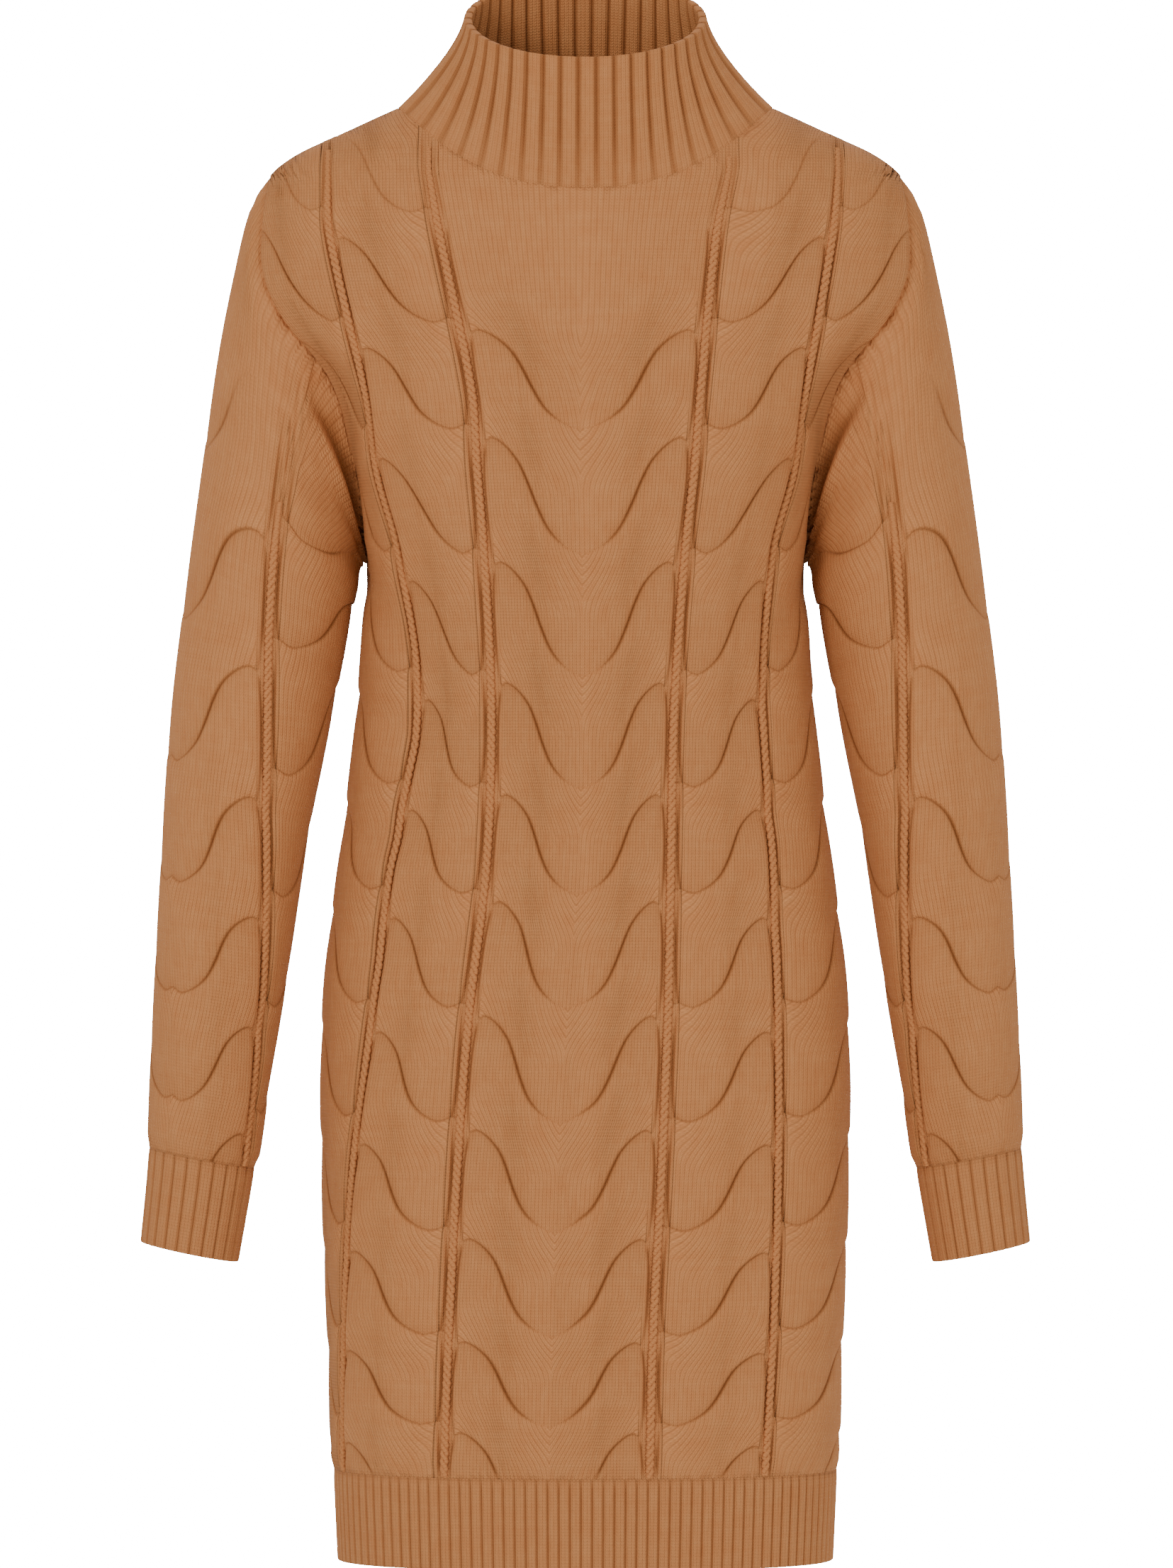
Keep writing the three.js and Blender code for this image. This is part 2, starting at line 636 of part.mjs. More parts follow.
function hemNodes(face) {
  const columns = [...ribColumns(HEM_RIBS), { part: 1, high: 0 }];
  return [HEM_RIB_TOP_Z - SEAM_GAP, HEM_Z].map((z) => columns.map(({ part, high }) => {
    const angle = (part - 0.5) * Math.PI;
    return {
      base: bodySurface(face, angle, z),
      normal: bodyNormal(face, angle, z),
      height: high * RIB_HEIGHT,
    };
  }));
}

// A place along a panel's neckline, by its share of the way from the left neck point to the right one.
function necklinePlace(panel, share) {
  const top = panel[0].map((node, c) => (
    { ...node, away: node.base.clone().sub(panel[1][c].base).normalize() }
  ));
  const neck = top.filter((node) => Math.abs(node.base.x) < NECK_HALF_WIDTH + SEAM_GAP / 2);
  const lengths = [0];
  for (let i = 1; i < neck.length; i += 1) {
    lengths.push(lengths[i - 1] + neck[i].base.distanceTo(neck[i - 1].base));
  }
  const wanted = share * lengths[lengths.length - 1];
  let i = 0;
  while (i < lengths.length - 2 && lengths[i + 1] < wanted) i += 1;
  const t = (wanted - lengths[i]) / (lengths[i + 1] - lengths[i]);
  const between = (name) => neck[i][name].clone().lerp(neck[i + 1][name], t);
  return { base: between('base'), normal: between('normal'), away: between('away').normalize() };
}

const baseShare = (even) => {
  const fromMiddle = 2 * even - 1;
  return 0.5 + 0.5 * (COLLAR_SPREAD * fromMiddle + (1 - COLLAR_SPREAD) * fromMiddle ** 3);
};

function collarRim(angle) {
  return new THREE.Vector3(
    COLLAR.rimHalfWidth * Math.sin(angle),
    COLLAR.rimY - COLLAR.rimHalfDepth * Math.cos(angle),
    COLLAR.rimZ - COLLAR.rimTilt * Math.cos(angle),
  );
}

function collarNodes(front, back) {
  const columns = ribColumns(COLLAR_RIBS).map(({ part, high }) => {
    const onFront = part < 0.5;
    const place = onFront
      ? necklinePlace(front, baseShare(part * 2))
      : necklinePlace(back, baseShare(2 - part * 2));
    const base = place.base.clone().addScaledVector(place.away, NECKLINE_GAP);
    const rim = collarRim((2 * part - 0.5) * Math.PI);
    return { base, rim, high, seamNormal: place.normal };
  });
  const count = columns.length;
  const rows = [];
  for (let row = 0; row <= COLLAR_ROWS; row += 1) {
    const down = row / COLLAR_ROWS;
    const out = down ** COLLAR.flare;
    rows.push(columns.map(({ base, rim }) => new THREE.Vector3(
      mix(rim.x, base.x, out),
      mix(rim.y, base.y, out),
      mix(rim.z, base.z, down),
    )));
  }
  return rows.map((points, row) => points.map((point, c) => {
    const before = points[(c + count - 1) % count];
    const after = points[(c + 1) % count];
    const above = rows[Math.max(row - 1, 0)][c];
    const below = rows[Math.min(row + 1, COLLAR_ROWS)][c];
    const own = below.clone().sub(above).cross(after.clone().sub(before)).normalize();
    const normal = row === COLLAR_ROWS ? columns[c].seamNormal : own;
    return { base: point, normal, height: columns[c].high * COLLAR_RIB_HEIGHT };
  }));
}

// Walls

function every(count, step) {
  const places = [];
  for (let i = 0; i < count; i += step) places.push(i);
  places.push(count);
  return places;
}

// A closed wall from rows of nodes. The outside has every node, and the inside the rows in rowPlaces and
// every few columns. A ring closes on itself, and turned swaps inside and outside faces.
function wall(name, rows, { ring = false, turned = false, columnStep = 1, rowPlaces }) {
  const points = [];
  const faces = [];
  const rowCount = rows.length - 1;
  const columnCount = ring ? rows[0].length : rows[0].length - 1;
  const wrap = (c) => (ring ? c % columnCount : c);
  const place = (r, c, inside) => {
    const node = rows[r][wrap(c)];
    return node.base.clone().addScaledVector(node.normal, inside ? -WALL : node.height);
  };
  const indices = new Map();
  const corner = (r, c, inside) => {
    const key = `${r},${wrap(c)},${inside}`;
    if (!indices.has(key)) {
      indices.set(key, points.length);
      points.push(place(r, c, inside));
    }
    return indices.get(key);
  };
  const face = (a, b, c) => faces.push(turned ? [a, c, b] : [a, b, c]);
  const insideRows = rowPlaces ?? every(rowCount, 1);
  const columnPlaces = every(columnCount, columnStep);
  const sheet = (rowList, columnList, inside) => {
    for (let i = 0; i + 1 < rowList.length; i += 1) {
      for (let j = 0; j + 1 < columnList.length; j += 1) {
        const a = corner(rowList[i], columnList[j], inside);
        const b = corner(rowList[i + 1], columnList[j], inside);
        const c = corner(rowList[i + 1], columnList[j + 1], inside);
        const d = corner(rowList[i], columnList[j + 1], inside);
        if (inside) {
          face(a, c, b);
          face(a, d, c);
        } else {
          face(a, b, c);
          face(a, c, d);
        }
      }
    }
  };
  // A strip of rim from every outer node of an edge to the few inner ones.
  const rim = (places, at, swapped) => {
    const put = (a, b, c) => (swapped ? face(b, a, c) : face(a, b, c));
    for (let i = 0; i + 1 < places.length; i += 1) {
      const first = places[i];
      const last = places[i + 1];
      const middle = Math.floor((first + last) / 2);
      for (let k = first; k < last; k += 1) {
        put(at(k, false), at(k + 1, false), at(k < middle ? first : last, true));
      }
      put(at(first, true), at(middle, false), at(last, true));
    }
  };
  sheet(every(rowCount, 1), every(columnCount, 1), false);
  sheet(insideRows, columnPlaces, true);
  rim(columnPlaces, (k, inside) => corner(0, k, inside), false);
  rim(columnPlaces, (k, inside) => corner(rowCount, k, inside), true);
  if (!ring) {
    rim(insideRows, (k, inside) => corner(k, 0, inside), true);
    rim(insideRows, (k, inside) => corner(k, columnCount, inside), false);
  }
  const geometry = new THREE.BufferGeometry();
  geometry.setAttribute('position', new THREE.Float32BufferAttribute(points.flatMap((p) => p.toArray()), 3));
  geometry.setIndex(faces.flat());
  geometry.computeVertexNormals();
  const knit = new THREE.MeshStandardMaterial({ color: CAMEL, roughness: 0.9, metalness: 0 });
  const mesh = new THREE.Mesh(geometry, knit);
  mesh.name = name;
  return mesh;
}

const mirrored = (rows) => rows.map((row) => row.map(({ base, normal, height }) => ({
  base: base.clone().setX(-base.x),
  normal: normal.clone().setX(-normal.x),
  height,
})));

// The inside of a panel follows every other row of the armhole, and every fourth row below it.
const panelRows = (rows) => [
  ...every(ARMHOLE_ROWS, 2),
  ...every(rows.length - 1 - ARMHOLE_ROWS, 4).slice(1).map((row) => row + ARMHOLE_ROWS),
];

const frontPanel = bodyPanel('front');
const backPanel = bodyPanel('back');
const sleeve = sleeveNodes(frontPanel, backPanel);
const cuff = cuffNodes();

const dress = new THREE.Group();
dress.add(
  wall('front_panel', frontPanel, { rowPlaces: panelRows(frontPanel) }),
  wall('back_panel', backPanel, { turned: true, rowPlaces: panelRows(backPanel) }),
  wall('hem_rib_front', hemNodes('front'), { columnStep: 12 }),
  wall('hem_rib_back', hemNodes('back'), { turned: true, columnStep: 12 }),
  wall('collar', collarNodes(frontPanel, backPanel), { ring: true, columnStep: 4 }),
  wall('sleeve_right', sleeve, { ring: true, turned: true, columnStep: 2 }),
  wall('sleeve_left', mirrored(sleeve), { ring: true, columnStep: 2 }),
  wall('cuff_right', cuff, { ring: true, turned: true, columnStep: 4 }),
  wall('cuff_left', mirrored(cuff), { ring: true, columnStep: 4 }),
);

export default dress;
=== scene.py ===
# %% [markdown]
# # A cable-knit sweater dress
# The dress is knitted in nine pieces that are linked together: front, back, two hem ribs, collar, two
# sleeves and two cuffs. It stands filled out as if it were worn, with nobody in it. The frame is loaded
# first, because every piece is made at the size and place that the construction gives it.

import bmesh
import bpy
import numpy as np
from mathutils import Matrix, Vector


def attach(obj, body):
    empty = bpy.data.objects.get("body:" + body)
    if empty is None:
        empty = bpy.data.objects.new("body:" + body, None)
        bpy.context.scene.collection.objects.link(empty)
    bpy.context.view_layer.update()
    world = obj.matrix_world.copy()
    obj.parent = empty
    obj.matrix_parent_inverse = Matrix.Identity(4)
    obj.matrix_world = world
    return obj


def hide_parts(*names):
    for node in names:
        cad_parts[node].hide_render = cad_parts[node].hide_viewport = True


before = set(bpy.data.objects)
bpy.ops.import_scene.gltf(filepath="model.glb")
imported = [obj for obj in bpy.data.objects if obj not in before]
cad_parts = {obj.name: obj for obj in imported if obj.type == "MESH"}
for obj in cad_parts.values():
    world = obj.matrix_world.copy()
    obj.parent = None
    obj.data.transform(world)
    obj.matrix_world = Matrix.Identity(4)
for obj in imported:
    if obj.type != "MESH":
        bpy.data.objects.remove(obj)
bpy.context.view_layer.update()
MM = 0.001

# %% [markdown]
# ## Node trees as expressions
# Materials, the light of the room and the ropes are node trees. One small class wraps a socket, so that
# a formula on sockets adds the Math nodes it needs, and another adds and feeds all other nodes.

# %% Sockets that can be added and multiplied
class Value:
    """A socket that adds Math nodes when it is used in an expression."""

    def __init__(self, graph, socket):
        self.graph = graph
        self.socket = socket

    def math(self, operation, *values):
        return self.graph.node("ShaderNodeMath", {"operation": operation}, dict(enumerate(values)))

    def __add__(self, other):
        return self.math("ADD", self, other)

    __radd__ = __add__

    def __sub__(self, other):
        return self.math("SUBTRACT", self, other)

    def __rsub__(self, other):
        return self.math("SUBTRACT", other, self)

    def __mul__(self, other):
        return self.math("MULTIPLY", self, other)

    __rmul__ = __mul__

    def __truediv__(self, other):
        return self.math("DIVIDE", self, other)

    def fraction(self):
        return self.math("FRACT", self)

    def size(self):
        return self.math("ABSOLUTE", self)

    def cosine(self):
        return self.math("COSINE", self)

    def sine(self):
        return self.math("SINE", self)


class Graph:
    """A node tree. Its node method adds a node, sets it up, feeds its sockets and gives an output."""

    def __init__(self, tree):
        self.tree = tree

    def node(self, kind, settings=None, inputs=None, output=0):
        node = self.tree.nodes.new(kind)
        for name, value in (settings or {}).items():
            setattr(node, name, value)
        for name, value in (inputs or {}).items():
            if isinstance(value, Value):
                self.tree.links.new(value.socket, node.inputs[name])
            else:
                node.inputs[name].default_value = value
        if not node.outputs:
            return None
        return Value(self, node.outputs[output])

    def attribute(self, name):
        return self.node("ShaderNodeAttribute", {"attribute_name": name}, output="Fac")

    def noise(self, place, scale, detail):
        return self.node("ShaderNodeTexNoise", {}, {"Vector": place, "Scale": scale, "Detail": detail})

    def vector(self, operation, first, second):
        return self.node("ShaderNodeVectorMath", {"operation": operation}, {0: first, 1: second})

    def scaled(self, vector, size):
        return self.node("ShaderNodeVectorMath", {"operation": "SCALE"}, {0: vector, "Scale": size})

    def clamped_sum(self, first, second):
        return self.node("ShaderNodeMath", {"operation": "ADD", "use_clamp": True}, {0: first, 1: second})

    def blend(self, share, first, second, how="MIX"):
        settings = {"data_type": "RGBA", "blend_type": how}
        return self.node("ShaderNodeMix", settings, {0: share, 6: first, 7: second}, 2)


# %% [markdown]
# ## Camera, light and backdrop
# A long lens far away keeps the dress's proportions, as in a catalogue picture. The picture is 718 mm
# wide at the dress, so the camera's distance follows from its lens. Large soft lights leave shallow
# shadows, and the key light from the left gives the cables their edges.

# %% Camera
PICTURE_HEIGHT = 0.960
PICTURE_MIDDLE = (0.0007, -0.4127)
LENS_MM = 150
SENSOR_HEIGHT_MM = 24
DRESS_FRONT_Y = -0.06

scene = bpy.context.scene


def add_object(name, data, place=(0, 0, 0)):
    thing = bpy.data.objects.new(name, data)
    thing.location = place
    scene.collection.objects.link(thing)
    return thing


distance = PICTURE_HEIGHT * LENS_MM / SENSOR_HEIGHT_MM
camera_data = bpy.data.cameras.new("camera")
camera_data.type = "PERSP"
camera_data.sensor_fit = "VERTICAL"
camera_data.sensor_height = SENSOR_HEIGHT_MM
camera_data.lens = LENS_MM
camera_place = (PICTURE_MIDDLE[0], DRESS_FRONT_Y - distance, PICTURE_MIDDLE[1])
camera = add_object("camera", camera_data, camera_place)
camera.rotation_euler = (np.pi / 2, 0, 0)
scene.camera = camera
print("camera distance", round(distance, 2), "m")

# %% Lights and a white room
LIGHTS_AIM = (0, 0, -0.4)
ROOM_LIGHT = 1.0
BACKDROP_LIGHT = 30.0


def soft_light(name, place, size, watts):
    data = bpy.data.lights.new(name, "AREA")
    data.shape = "DISK"
    data.size = size
    data.energy = watts
    light = add_object(name, data, place)
    aim = np.array(LIGHTS_AIM) - place
    light.rotation_euler = Vector(aim).to_track_quat("-Z", "Y").to_euler()


soft_light("key", (-1.5, -2.2, 0.4), 0.9, 24)
soft_light("fill", (1.6, -2.4, -0.8), 1.6, 18)
soft_light("rim", (0.3, 2.0, 1.6), 1.2, 14)

world = bpy.data.worlds.new("white room")
world.use_nodes = True
world.node_tree.nodes.clear()
scene.world = world
graph = Graph(world.node_tree)
room = graph.node("ShaderNodeBackground", {}, {"Strength": ROOM_LIGHT})
backdrop = graph.node("ShaderNodeBackground", {}, {"Color": (1, 1, 1, 1), "Strength": BACKDROP_LIGHT})
seen = graph.node("ShaderNodeLightPath", output="Is Camera Ray")
either = graph.node("ShaderNodeMixShader", {}, {0: seen, 1: room, 2: backdrop})
graph.node("ShaderNodeOutputWorld", {}, {"Surface": either})

# %% [markdown]
# ## Measurements
# A knitted piece is planned on paper as widths at heights. The tables below are those plans, in
# millimetres, with the columns named once. Between two rows a value follows a smooth curve, so that a
# few rows are enough for a long side seam.

# %% Tables and smooth curves
def table(names, rows):
    return dict(zip(names.split(), np.array(rows, float).T))


def curve(rows, key, name):
    """A smooth function through one column of a table, with its ends held flat outside the table."""
    order = np.argsort(rows[key])
    at = rows[key][order]
    value = rows[name][order]
    slope = np.empty_like(value)
    slope[1:-1] = (value[2:] - value[:-2]) / (at[2:] - at[:-2])
    slope[0] = (value[1] - value[0]) / (at[1] - at[0])
    slope[-1] = (value[-1] - value[-2]) / (at[-1] - at[-2])

    def smooth(x):
        x = np.asarray(x, float)
        i = np.clip(np.searchsorted(at, x) - 1, 0, len(at) - 2)
        span = at[i + 1] - at[i]
        t = np.clip((x - at[i]) / span, 0, 1)
        return (
            value[i] * (2 * t**3 - 3 * t**2 + 1)
            + slope[i] * span * (t**3 - 2 * t**2 + t)
            + value[i + 1] * (3 * t**2 - 2 * t**3)
            + slope[i + 1] * span * (t**3 - t**2)
        )

    return smooth


def smoothstep(x, start, end):
    t = np.clip((np.asarray(x, float) - start) / (end - start), 0, 1)
    return t * t * (3 - 2 * t)


def mix(a, b, t):
    return a + (b - a) * t

def bell(distance, width):
    return np.exp(-(distance / width) ** 2)


def steps_along(points):
    """The distance from each point of a line to the next."""
    return np.linalg.norm(np.diff(points, axis=0), axis=1)


def along(points):
    """The share of a line's length that lies before each of its points."""
    length = np.append(0, np.cumsum(steps_along(points)))
    return length / length[-1]


# %% The dress's plan
WALL = 2.2
SEAM_LAP = 0.25
TUCK_DEPTH = 0.5
TUCK_WIDTH = 0.9
SURFACE_INSET = 2
SEAM_Y = 4
SQUARENESS = 2.25
SHOULDER_TIP_Z = -37
UNDERARM_Z = -273
HEM_RIB_TOP_Z = -836
HEM_Z = -892
NECK_POINT_Z = 5
NECKLINE = {"front_drop": 53, "front_power": 2.4, "back_rise": 7, "back_power": 2}

BODY = table("z half front back", [
    (12, 100, 38, 60),
    (5, 117, 40, 61),
    (-11, 152, 54, 69),
    (-24, 180, 64, 76),
    (-37, 196.5, 72, 82),
    (-60, 209, 82, 91),
    (-95, 216, 91, 100),
    (-120, 211, 97, 104),
    (-140, 194, 101, 106),
    (-160, 171, 105, 107),
    (-185, 155, 109, 107),
    (-215, 146, 112, 105),
    (-250, 140, 112, 102),
    (-273, 137, 109, 99),
    (-320, 137.6, 102, 92),
    (-375, 142, 95, 84),
    (-430, 148, 92, 82),
    (-480, 154.5, 96, 92),
    (-530, 160.5, 102, 104),
    (-585, 163, 106, 114),
    (-640, 162.5, 107, 115),
    (-700, 161, 106, 110),
    (-770, 158, 104, 103),
    (-836, 156.5, 103, 99),
    (-893, 154, 102, 97),
])
ARMHOLE = table("z x", [
    (-37, 196.5),
    (-60, 200),
    (-95, 201),
    (-120, 192),
    (-140, 177),
    (-160, 160.5),
    (-185, 149.5),
    (-215, 143.5),
    (-250, 139.4),
    (-273, 137),
])
ROPES = table("z middle inner_left inner_right outer_left outer_right", [
    (-37, 0, -96, 88, -158, 155),
    (-77, -1, -89, 80, -156, 151),
    (-173, -3, -69, 70, -134, 134),
    (-221, -3, -65.5, 66, -127, 127),
    (-269, -2, -61.5, 60.5, -114, 114),
    (-365, -2, -57, 54, -102, 108),
    (-461, -4, -60, 52, -118, 114),
    (-557, -11, -71, 50, -130, 117),
    (-653, -17, -78, 46, -142, 117),
    (-749, -20, -83, 41, -147, 114),
    (-836, -22, -86, 39, -148, 109),
])
WAIST_Z = -400

body_half = curve(BODY, "z", "half")
body_depth = {face: curve(BODY, "z", face) for face in ("front", "back")}
armhole_x = curve(ARMHOLE, "z", "x")
rope_x = {name: curve(ROPES, "z", name) for name in ROPES if name != "z"}
print("half width at the waist", round(float(body_half(WAIST_Z)), 1), "mm")

# %% [markdown]
# ## The body's surface
# Seen from above, the filled-out body is a rounded oval, a little squarer than an ellipse. A point on
# it is given by its height and its angle round the oval from the middle of the front or back.

# %% The body's surface
OVAL_POWER = 2 / SQUARENESS
NORMAL_STEP_ANGLE = 0.01
NORMAL_STEP_HEIGHT = 0.5
CHEST_DROP = 40


def signed_power(value):
    return np.sign(value) * np.abs(value) ** OVAL_POWER


def half_width(z):
    return body_half(z) - SURFACE_INSET


def body_surface(face, angle, z):
    side = -1 if face == "front" else 1
    depth = body_depth[face](z) - SURFACE_INSET
    x = half_width(z) * signed_power(np.sin(angle))
    y = SEAM_Y + side * (depth * signed_power(np.cos(angle)) - SEAM_LAP)
    return np.stack(np.broadcast_arrays(x, y, z), axis=-1)


def angle_at(x, z):
    part = np.minimum(np.abs(x) / half_width(z), 1)
    return np.sign(x) * np.arcsin(part ** (1 / OVAL_POWER))


def unit(vectors):
    length = np.linalg.norm(vectors, axis=-1, keepdims=True)
    return vectors / np.maximum(length, 1e-9)


def outward(surface, u, v, middle):
    """The unit normal of a surface, on the side away from a point in the middle of the dress."""
    along_u = surface(u + NORMAL_STEP_ANGLE, v) - surface(u - NORMAL_STEP_ANGLE, v)
    along_v = surface(u, v + NORMAL_STEP_HEIGHT) - surface(u, v - NORMAL_STEP_HEIGHT)
    normal = unit(np.cross(along_u, along_v))
    away = surface(u, v) - middle
    return np.where(np.sum(normal * away, axis=-1, keepdims=True) < 0, -normal, normal)


def body_normal(face, angle, z):
    z = np.asarray(z, float)
    middle = np.stack(np.broadcast_arrays(0.0, SEAM_Y, z - CHEST_DROP), axis=-1)
    return outward(lambda u, v: body_surface(face, u, v), angle, z, middle)


def edge_angle(z):
    level = np.minimum(z, SHOULDER_TIP_Z)
    on_armhole = angle_at(armhole_x(level) - SURFACE_INSET, level)
    return np.where(np.asarray(z) <= UNDERARM_Z, np.pi / 2, on_armhole)


# %% The top edge: neckline and shoulder seams
NECK_HALF_WIDTH = float(half_width(NECK_POINT_Z))
seam_z = np.linspace(NECK_POINT_Z, SHOULDER_TIP_Z, 200)
seam_x = half_width(seam_z)


def top_edge(face, x):
    part = np.abs(x) / NECK_HALF_WIDTH
    if part > 1:
        return float(np.interp(abs(x), seam_x, seam_z))
    if face == "front":
        return NECK_POINT_Z - NECKLINE["front_drop"] * (1 - part ** NECKLINE["front_power"])
    return NECK_POINT_Z + NECKLINE["back_rise"] * (1 - part ** NECKLINE["back_power"])


print("neck", round(2 * NECK_HALF_WIDTH), "mm wide")

# %% [markdown]
# ## Cables
# In a cable, one group of stitches crosses in front of another every so many courses. The front group's
# edge makes a crease: it starts as an arch beside one rope, falls in an S and ends in a U beside the
# next. Under the crease's arch lies a flat pocket, inside the U a flat shield, and between one crease and
# the next runs the raised band of the crossing, whose stitches lean. The relief is written as a function
# of two shares: across, from the arch side to the U side, and between, from one crease to the next.

# %% The crease's shape
BODY_U = np.array([62, 0, -64, -132, -197, -272.5, -346.5, -415, -480, -549.5, -619, -685.5, -749, -804,
                   -866, -930], float)
SLEEVE_U = np.array([-30, -102, -175, -249, -323.5, -403.4, -477, -544, -609.5, -673, -737], float)
S_LINE = table("across fall strength", [
    (0, 0.035, 0.25),
    (0.06, 0, 0.4),
    (0.18, 0.055, 0.6),
    (0.32, 0.2, 0.85),
    (0.4, 0.36, 1),
    (0.48, 0.57, 1),
    (0.57, 0.76, 0.85),
    (0.67, 0.88, 0.6),
    (0.77, 0.955, 0.45),
    (0.88, 1, 0.35),
    (1, 0.95, 0.4),
])
MIDDLE_DROP = 0.93
SIDE_DROP = 0.76
SLEEVE_DROP = 0.78
MIDDLE_REACH = 0.88
U_FADE = 0.92
SIDE_LIFT = 8
CABLE_WIDTH = 57

line_fall = curve(S_LINE, "across", "fall")
line_strength = curve(S_LINE, "across", "strength")


def line_height(heights, k, across, drop, lift=0):
    """The height of crease number k, a whole number, at a place across its cable."""
    k = np.clip(k, 1, len(heights) - 1)
    gap = heights[k - 1] - heights[k]
    return heights[k] + drop * gap * (1 - line_fall(across)) + lift


def line_slant(heights, k, across, drop):
    """How much longer a millimetre square to the crease is when it is measured downwards."""
    k = np.clip(k, 1, len(heights) - 1)
    step = 0.01
    fall = (line_fall(across + step) - line_fall(across - step)) / (2 * step)
    return np.sqrt(1 + (drop * (heights[k - 1] - heights[k]) * fall / CABLE_WIDTH) ** 2)


def between_lines(heights, z, across, drop, lift=0):
    """The crease above each height, and the share of the way down to the next one."""
    numbers = np.arange(1, len(heights))
    lines = np.array([line_height(heights, k, across, drop, lift) for k in numbers])
    place = np.interp(-np.asarray(z, float), -lines, numbers)
    above = np.minimum(np.floor(place), numbers[-1] - 1)
    return above.astype(int), place - above


# %% Relief across a cable and beside a rope
CABLE_LOW = 2.1
CABLE_RISE = 1.3
CABLE_PILLOW = 0.6
CREASE_ROUND = 4.5
CREASE_DEPTH = 1.1
GUTTER_AT = 4.2
GUTTER_BOW = 2.6
GUTTER_ROUND = 5.0
GUTTER_FILL = 1.6
# The painted shade in the gutters and along the creases, the softer painted shadow on a crease's low side,
# and how much of it is left on the shoulder:
GUTTER_WIDTH = 0.85
GUTTER_DARK = 0.68
DARK_WIDTH = 1.05
SHADE_DARK = 0.3
SHADE_WIDTH = 3.5
SHOULDER_FADE = 0.4


def rounded(distance, radius):
    """From 0 at an edge to 1 at the radius, along a quarter of a circle."""
    t = np.clip(distance / radius, 0, 1)
    return np.sqrt(1 - (1 - t) ** 2)


def cable_height(across, between):
    sideways = smoothstep(across, 0, MIDDLE_REACH)
    over = (1 - sideways) * between + sideways * (1 - between)
    return CABLE_LOW + CABLE_RISE * over + CABLE_PILLOW * 4 * between * (1 - between)


def crease_strength(across, in_middle):
    """How deep a crease is and how dark its painted shade is. In the middle cable it fades out at the
    bottom of the U.
    """
    return line_strength(across) * (1 - U_FADE * in_middle * smoothstep(across, 0.62, 0.8))


def gutter_strength(between, at_arch):
    """How deep the gutter beside a rope is: deep along a pocket or a shield, filled by a crossing."""
    if at_arch:
        return smoothstep(between, 0, 0.1) * (1 - 0.8 * smoothstep(between, 0.6, 0.95))
    return 0.2 + 0.8 * smoothstep(between, 0.08, 0.42)


def gutter_place(between):
    """How far a gutter lies from the middle of its rope. It swings away where it meets a crease."""
    return GUTTER_AT + GUTTER_BOW * np.abs(2 * between - 1) ** 3


def knit_lean(across, between):
    """How far the stitches have stepped sideways on their way down through a crossing, from 0 to 1."""
    return smoothstep(between - (1 - across), -0.35, 0.35)


# %% [markdown]
# ## A wall of cloth
# Each piece is a closed wall: a fine outside that carries the relief, a plain inside, and a rim along
# every edge that joins the two. The outside's rows follow the creases, so that a crease is one clean
# line of vertices. Rows that would lie past an edge are gathered into it.

# %% A wall from two grids
class Grid:
    """Points in rows and columns, with what the material needs to know at each."""

    def __init__(self, points, knit_above, knit_below=None, painted_shade=None, lean=None, ring=False, wales=0):
        shape = points.shape[:2]
        self.points = points
        self.above = knit_above
        self.below = knit_above if knit_below is None else knit_below
        self.painted_shade = np.zeros(shape) if painted_shade is None else painted_shade
        self.lean = np.zeros(shape) if lean is None else lean
        self.ring = ring
        self.wales = wales
        self.index = np.arange(shape[0] * shape[1]).reshape(shape)

    def gather(self, first, last):
        """Gathers the rows above a column's first one into the top row, and those below its last."""
        rows, columns = np.indices(self.index.shape)
        kept = np.where(rows < first, 0, np.where(rows > last, len(rows) - 1, rows))
        self.index = kept * self.index.shape[1] + columns

    def closed(self, values, turn=0):
        """The values, in a ring with the first column once more at the end."""
        return np.concatenate([values, values[:, :1] + turn], axis=1) if self.ring else values

    def faces(self):
        """Corner indices and knit coordinates of each face, four or three to a face."""
        index = self.closed(self.index)
        above = self.closed(self.above, (self.wales, 0))
        below = self.closed(self.below, (self.wales, 0))
        corners = np.stack([index[:-1, :-1], index[1:, :-1], index[1:, 1:], index[:-1, 1:]], axis=-1)
        knit = np.stack([below[:-1, :-1], above[1:, :-1], above[1:, 1:], below[:-1, 1:]], axis=-2)
        corners = corners.reshape(-1, 4)
        knit = knit.reshape(-1, 4, 2)
        left = corners[:, 0] != corners[:, 1]
        right = corners[:, 2] != corners[:, 3]
        real = (corners[:, 0] != corners[:, 3]) & (corners[:, 1] != corners[:, 2])
        kinds = [(real & left & right, [0, 1, 2, 3]), (real & ~left & right, [0, 2, 3]),
                 (real & left & ~right, [0, 1, 2])]
        return [(corners[kind][:, order], knit[kind][:, order]) for kind, order in kinds]

    def edges(self):
        """The edges in the order top, bottom, and where it isn't a ring left and right."""
        index = self.closed(self.index)
        ends = [index[0], index[-1]]
        return ends if self.ring else [*ends, index[:, 0], index[:, -1]]


def zip_edges(first, second, first_at, second_at, flip):
    """Triangles between two edges that run side by side."""
    triangles = []
    i = j = 0
    while i < len(first) - 1 or j < len(second) - 1:
        if j == len(second) - 1 or (i < len(first) - 1 and first_at[i + 1] <= second_at[j + 1]):
            triangle = (first[i], second[j], first[i + 1])
            i += 1
        else:
            triangle = (first[i], second[j], second[j + 1])
            j += 1
        if len(set(triangle)) == 3:
            triangles.append(triangle[::-1] if flip else triangle)
    return triangles


def finish_piece(piece):
    """Lets a finished piece ride with the dress, and prints its size in triangles."""
    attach(piece, "root")
    print(piece.name, sum(len(polygon.vertices) - 2 for polygon in piece.data.polygons), "triangles")
    return piece


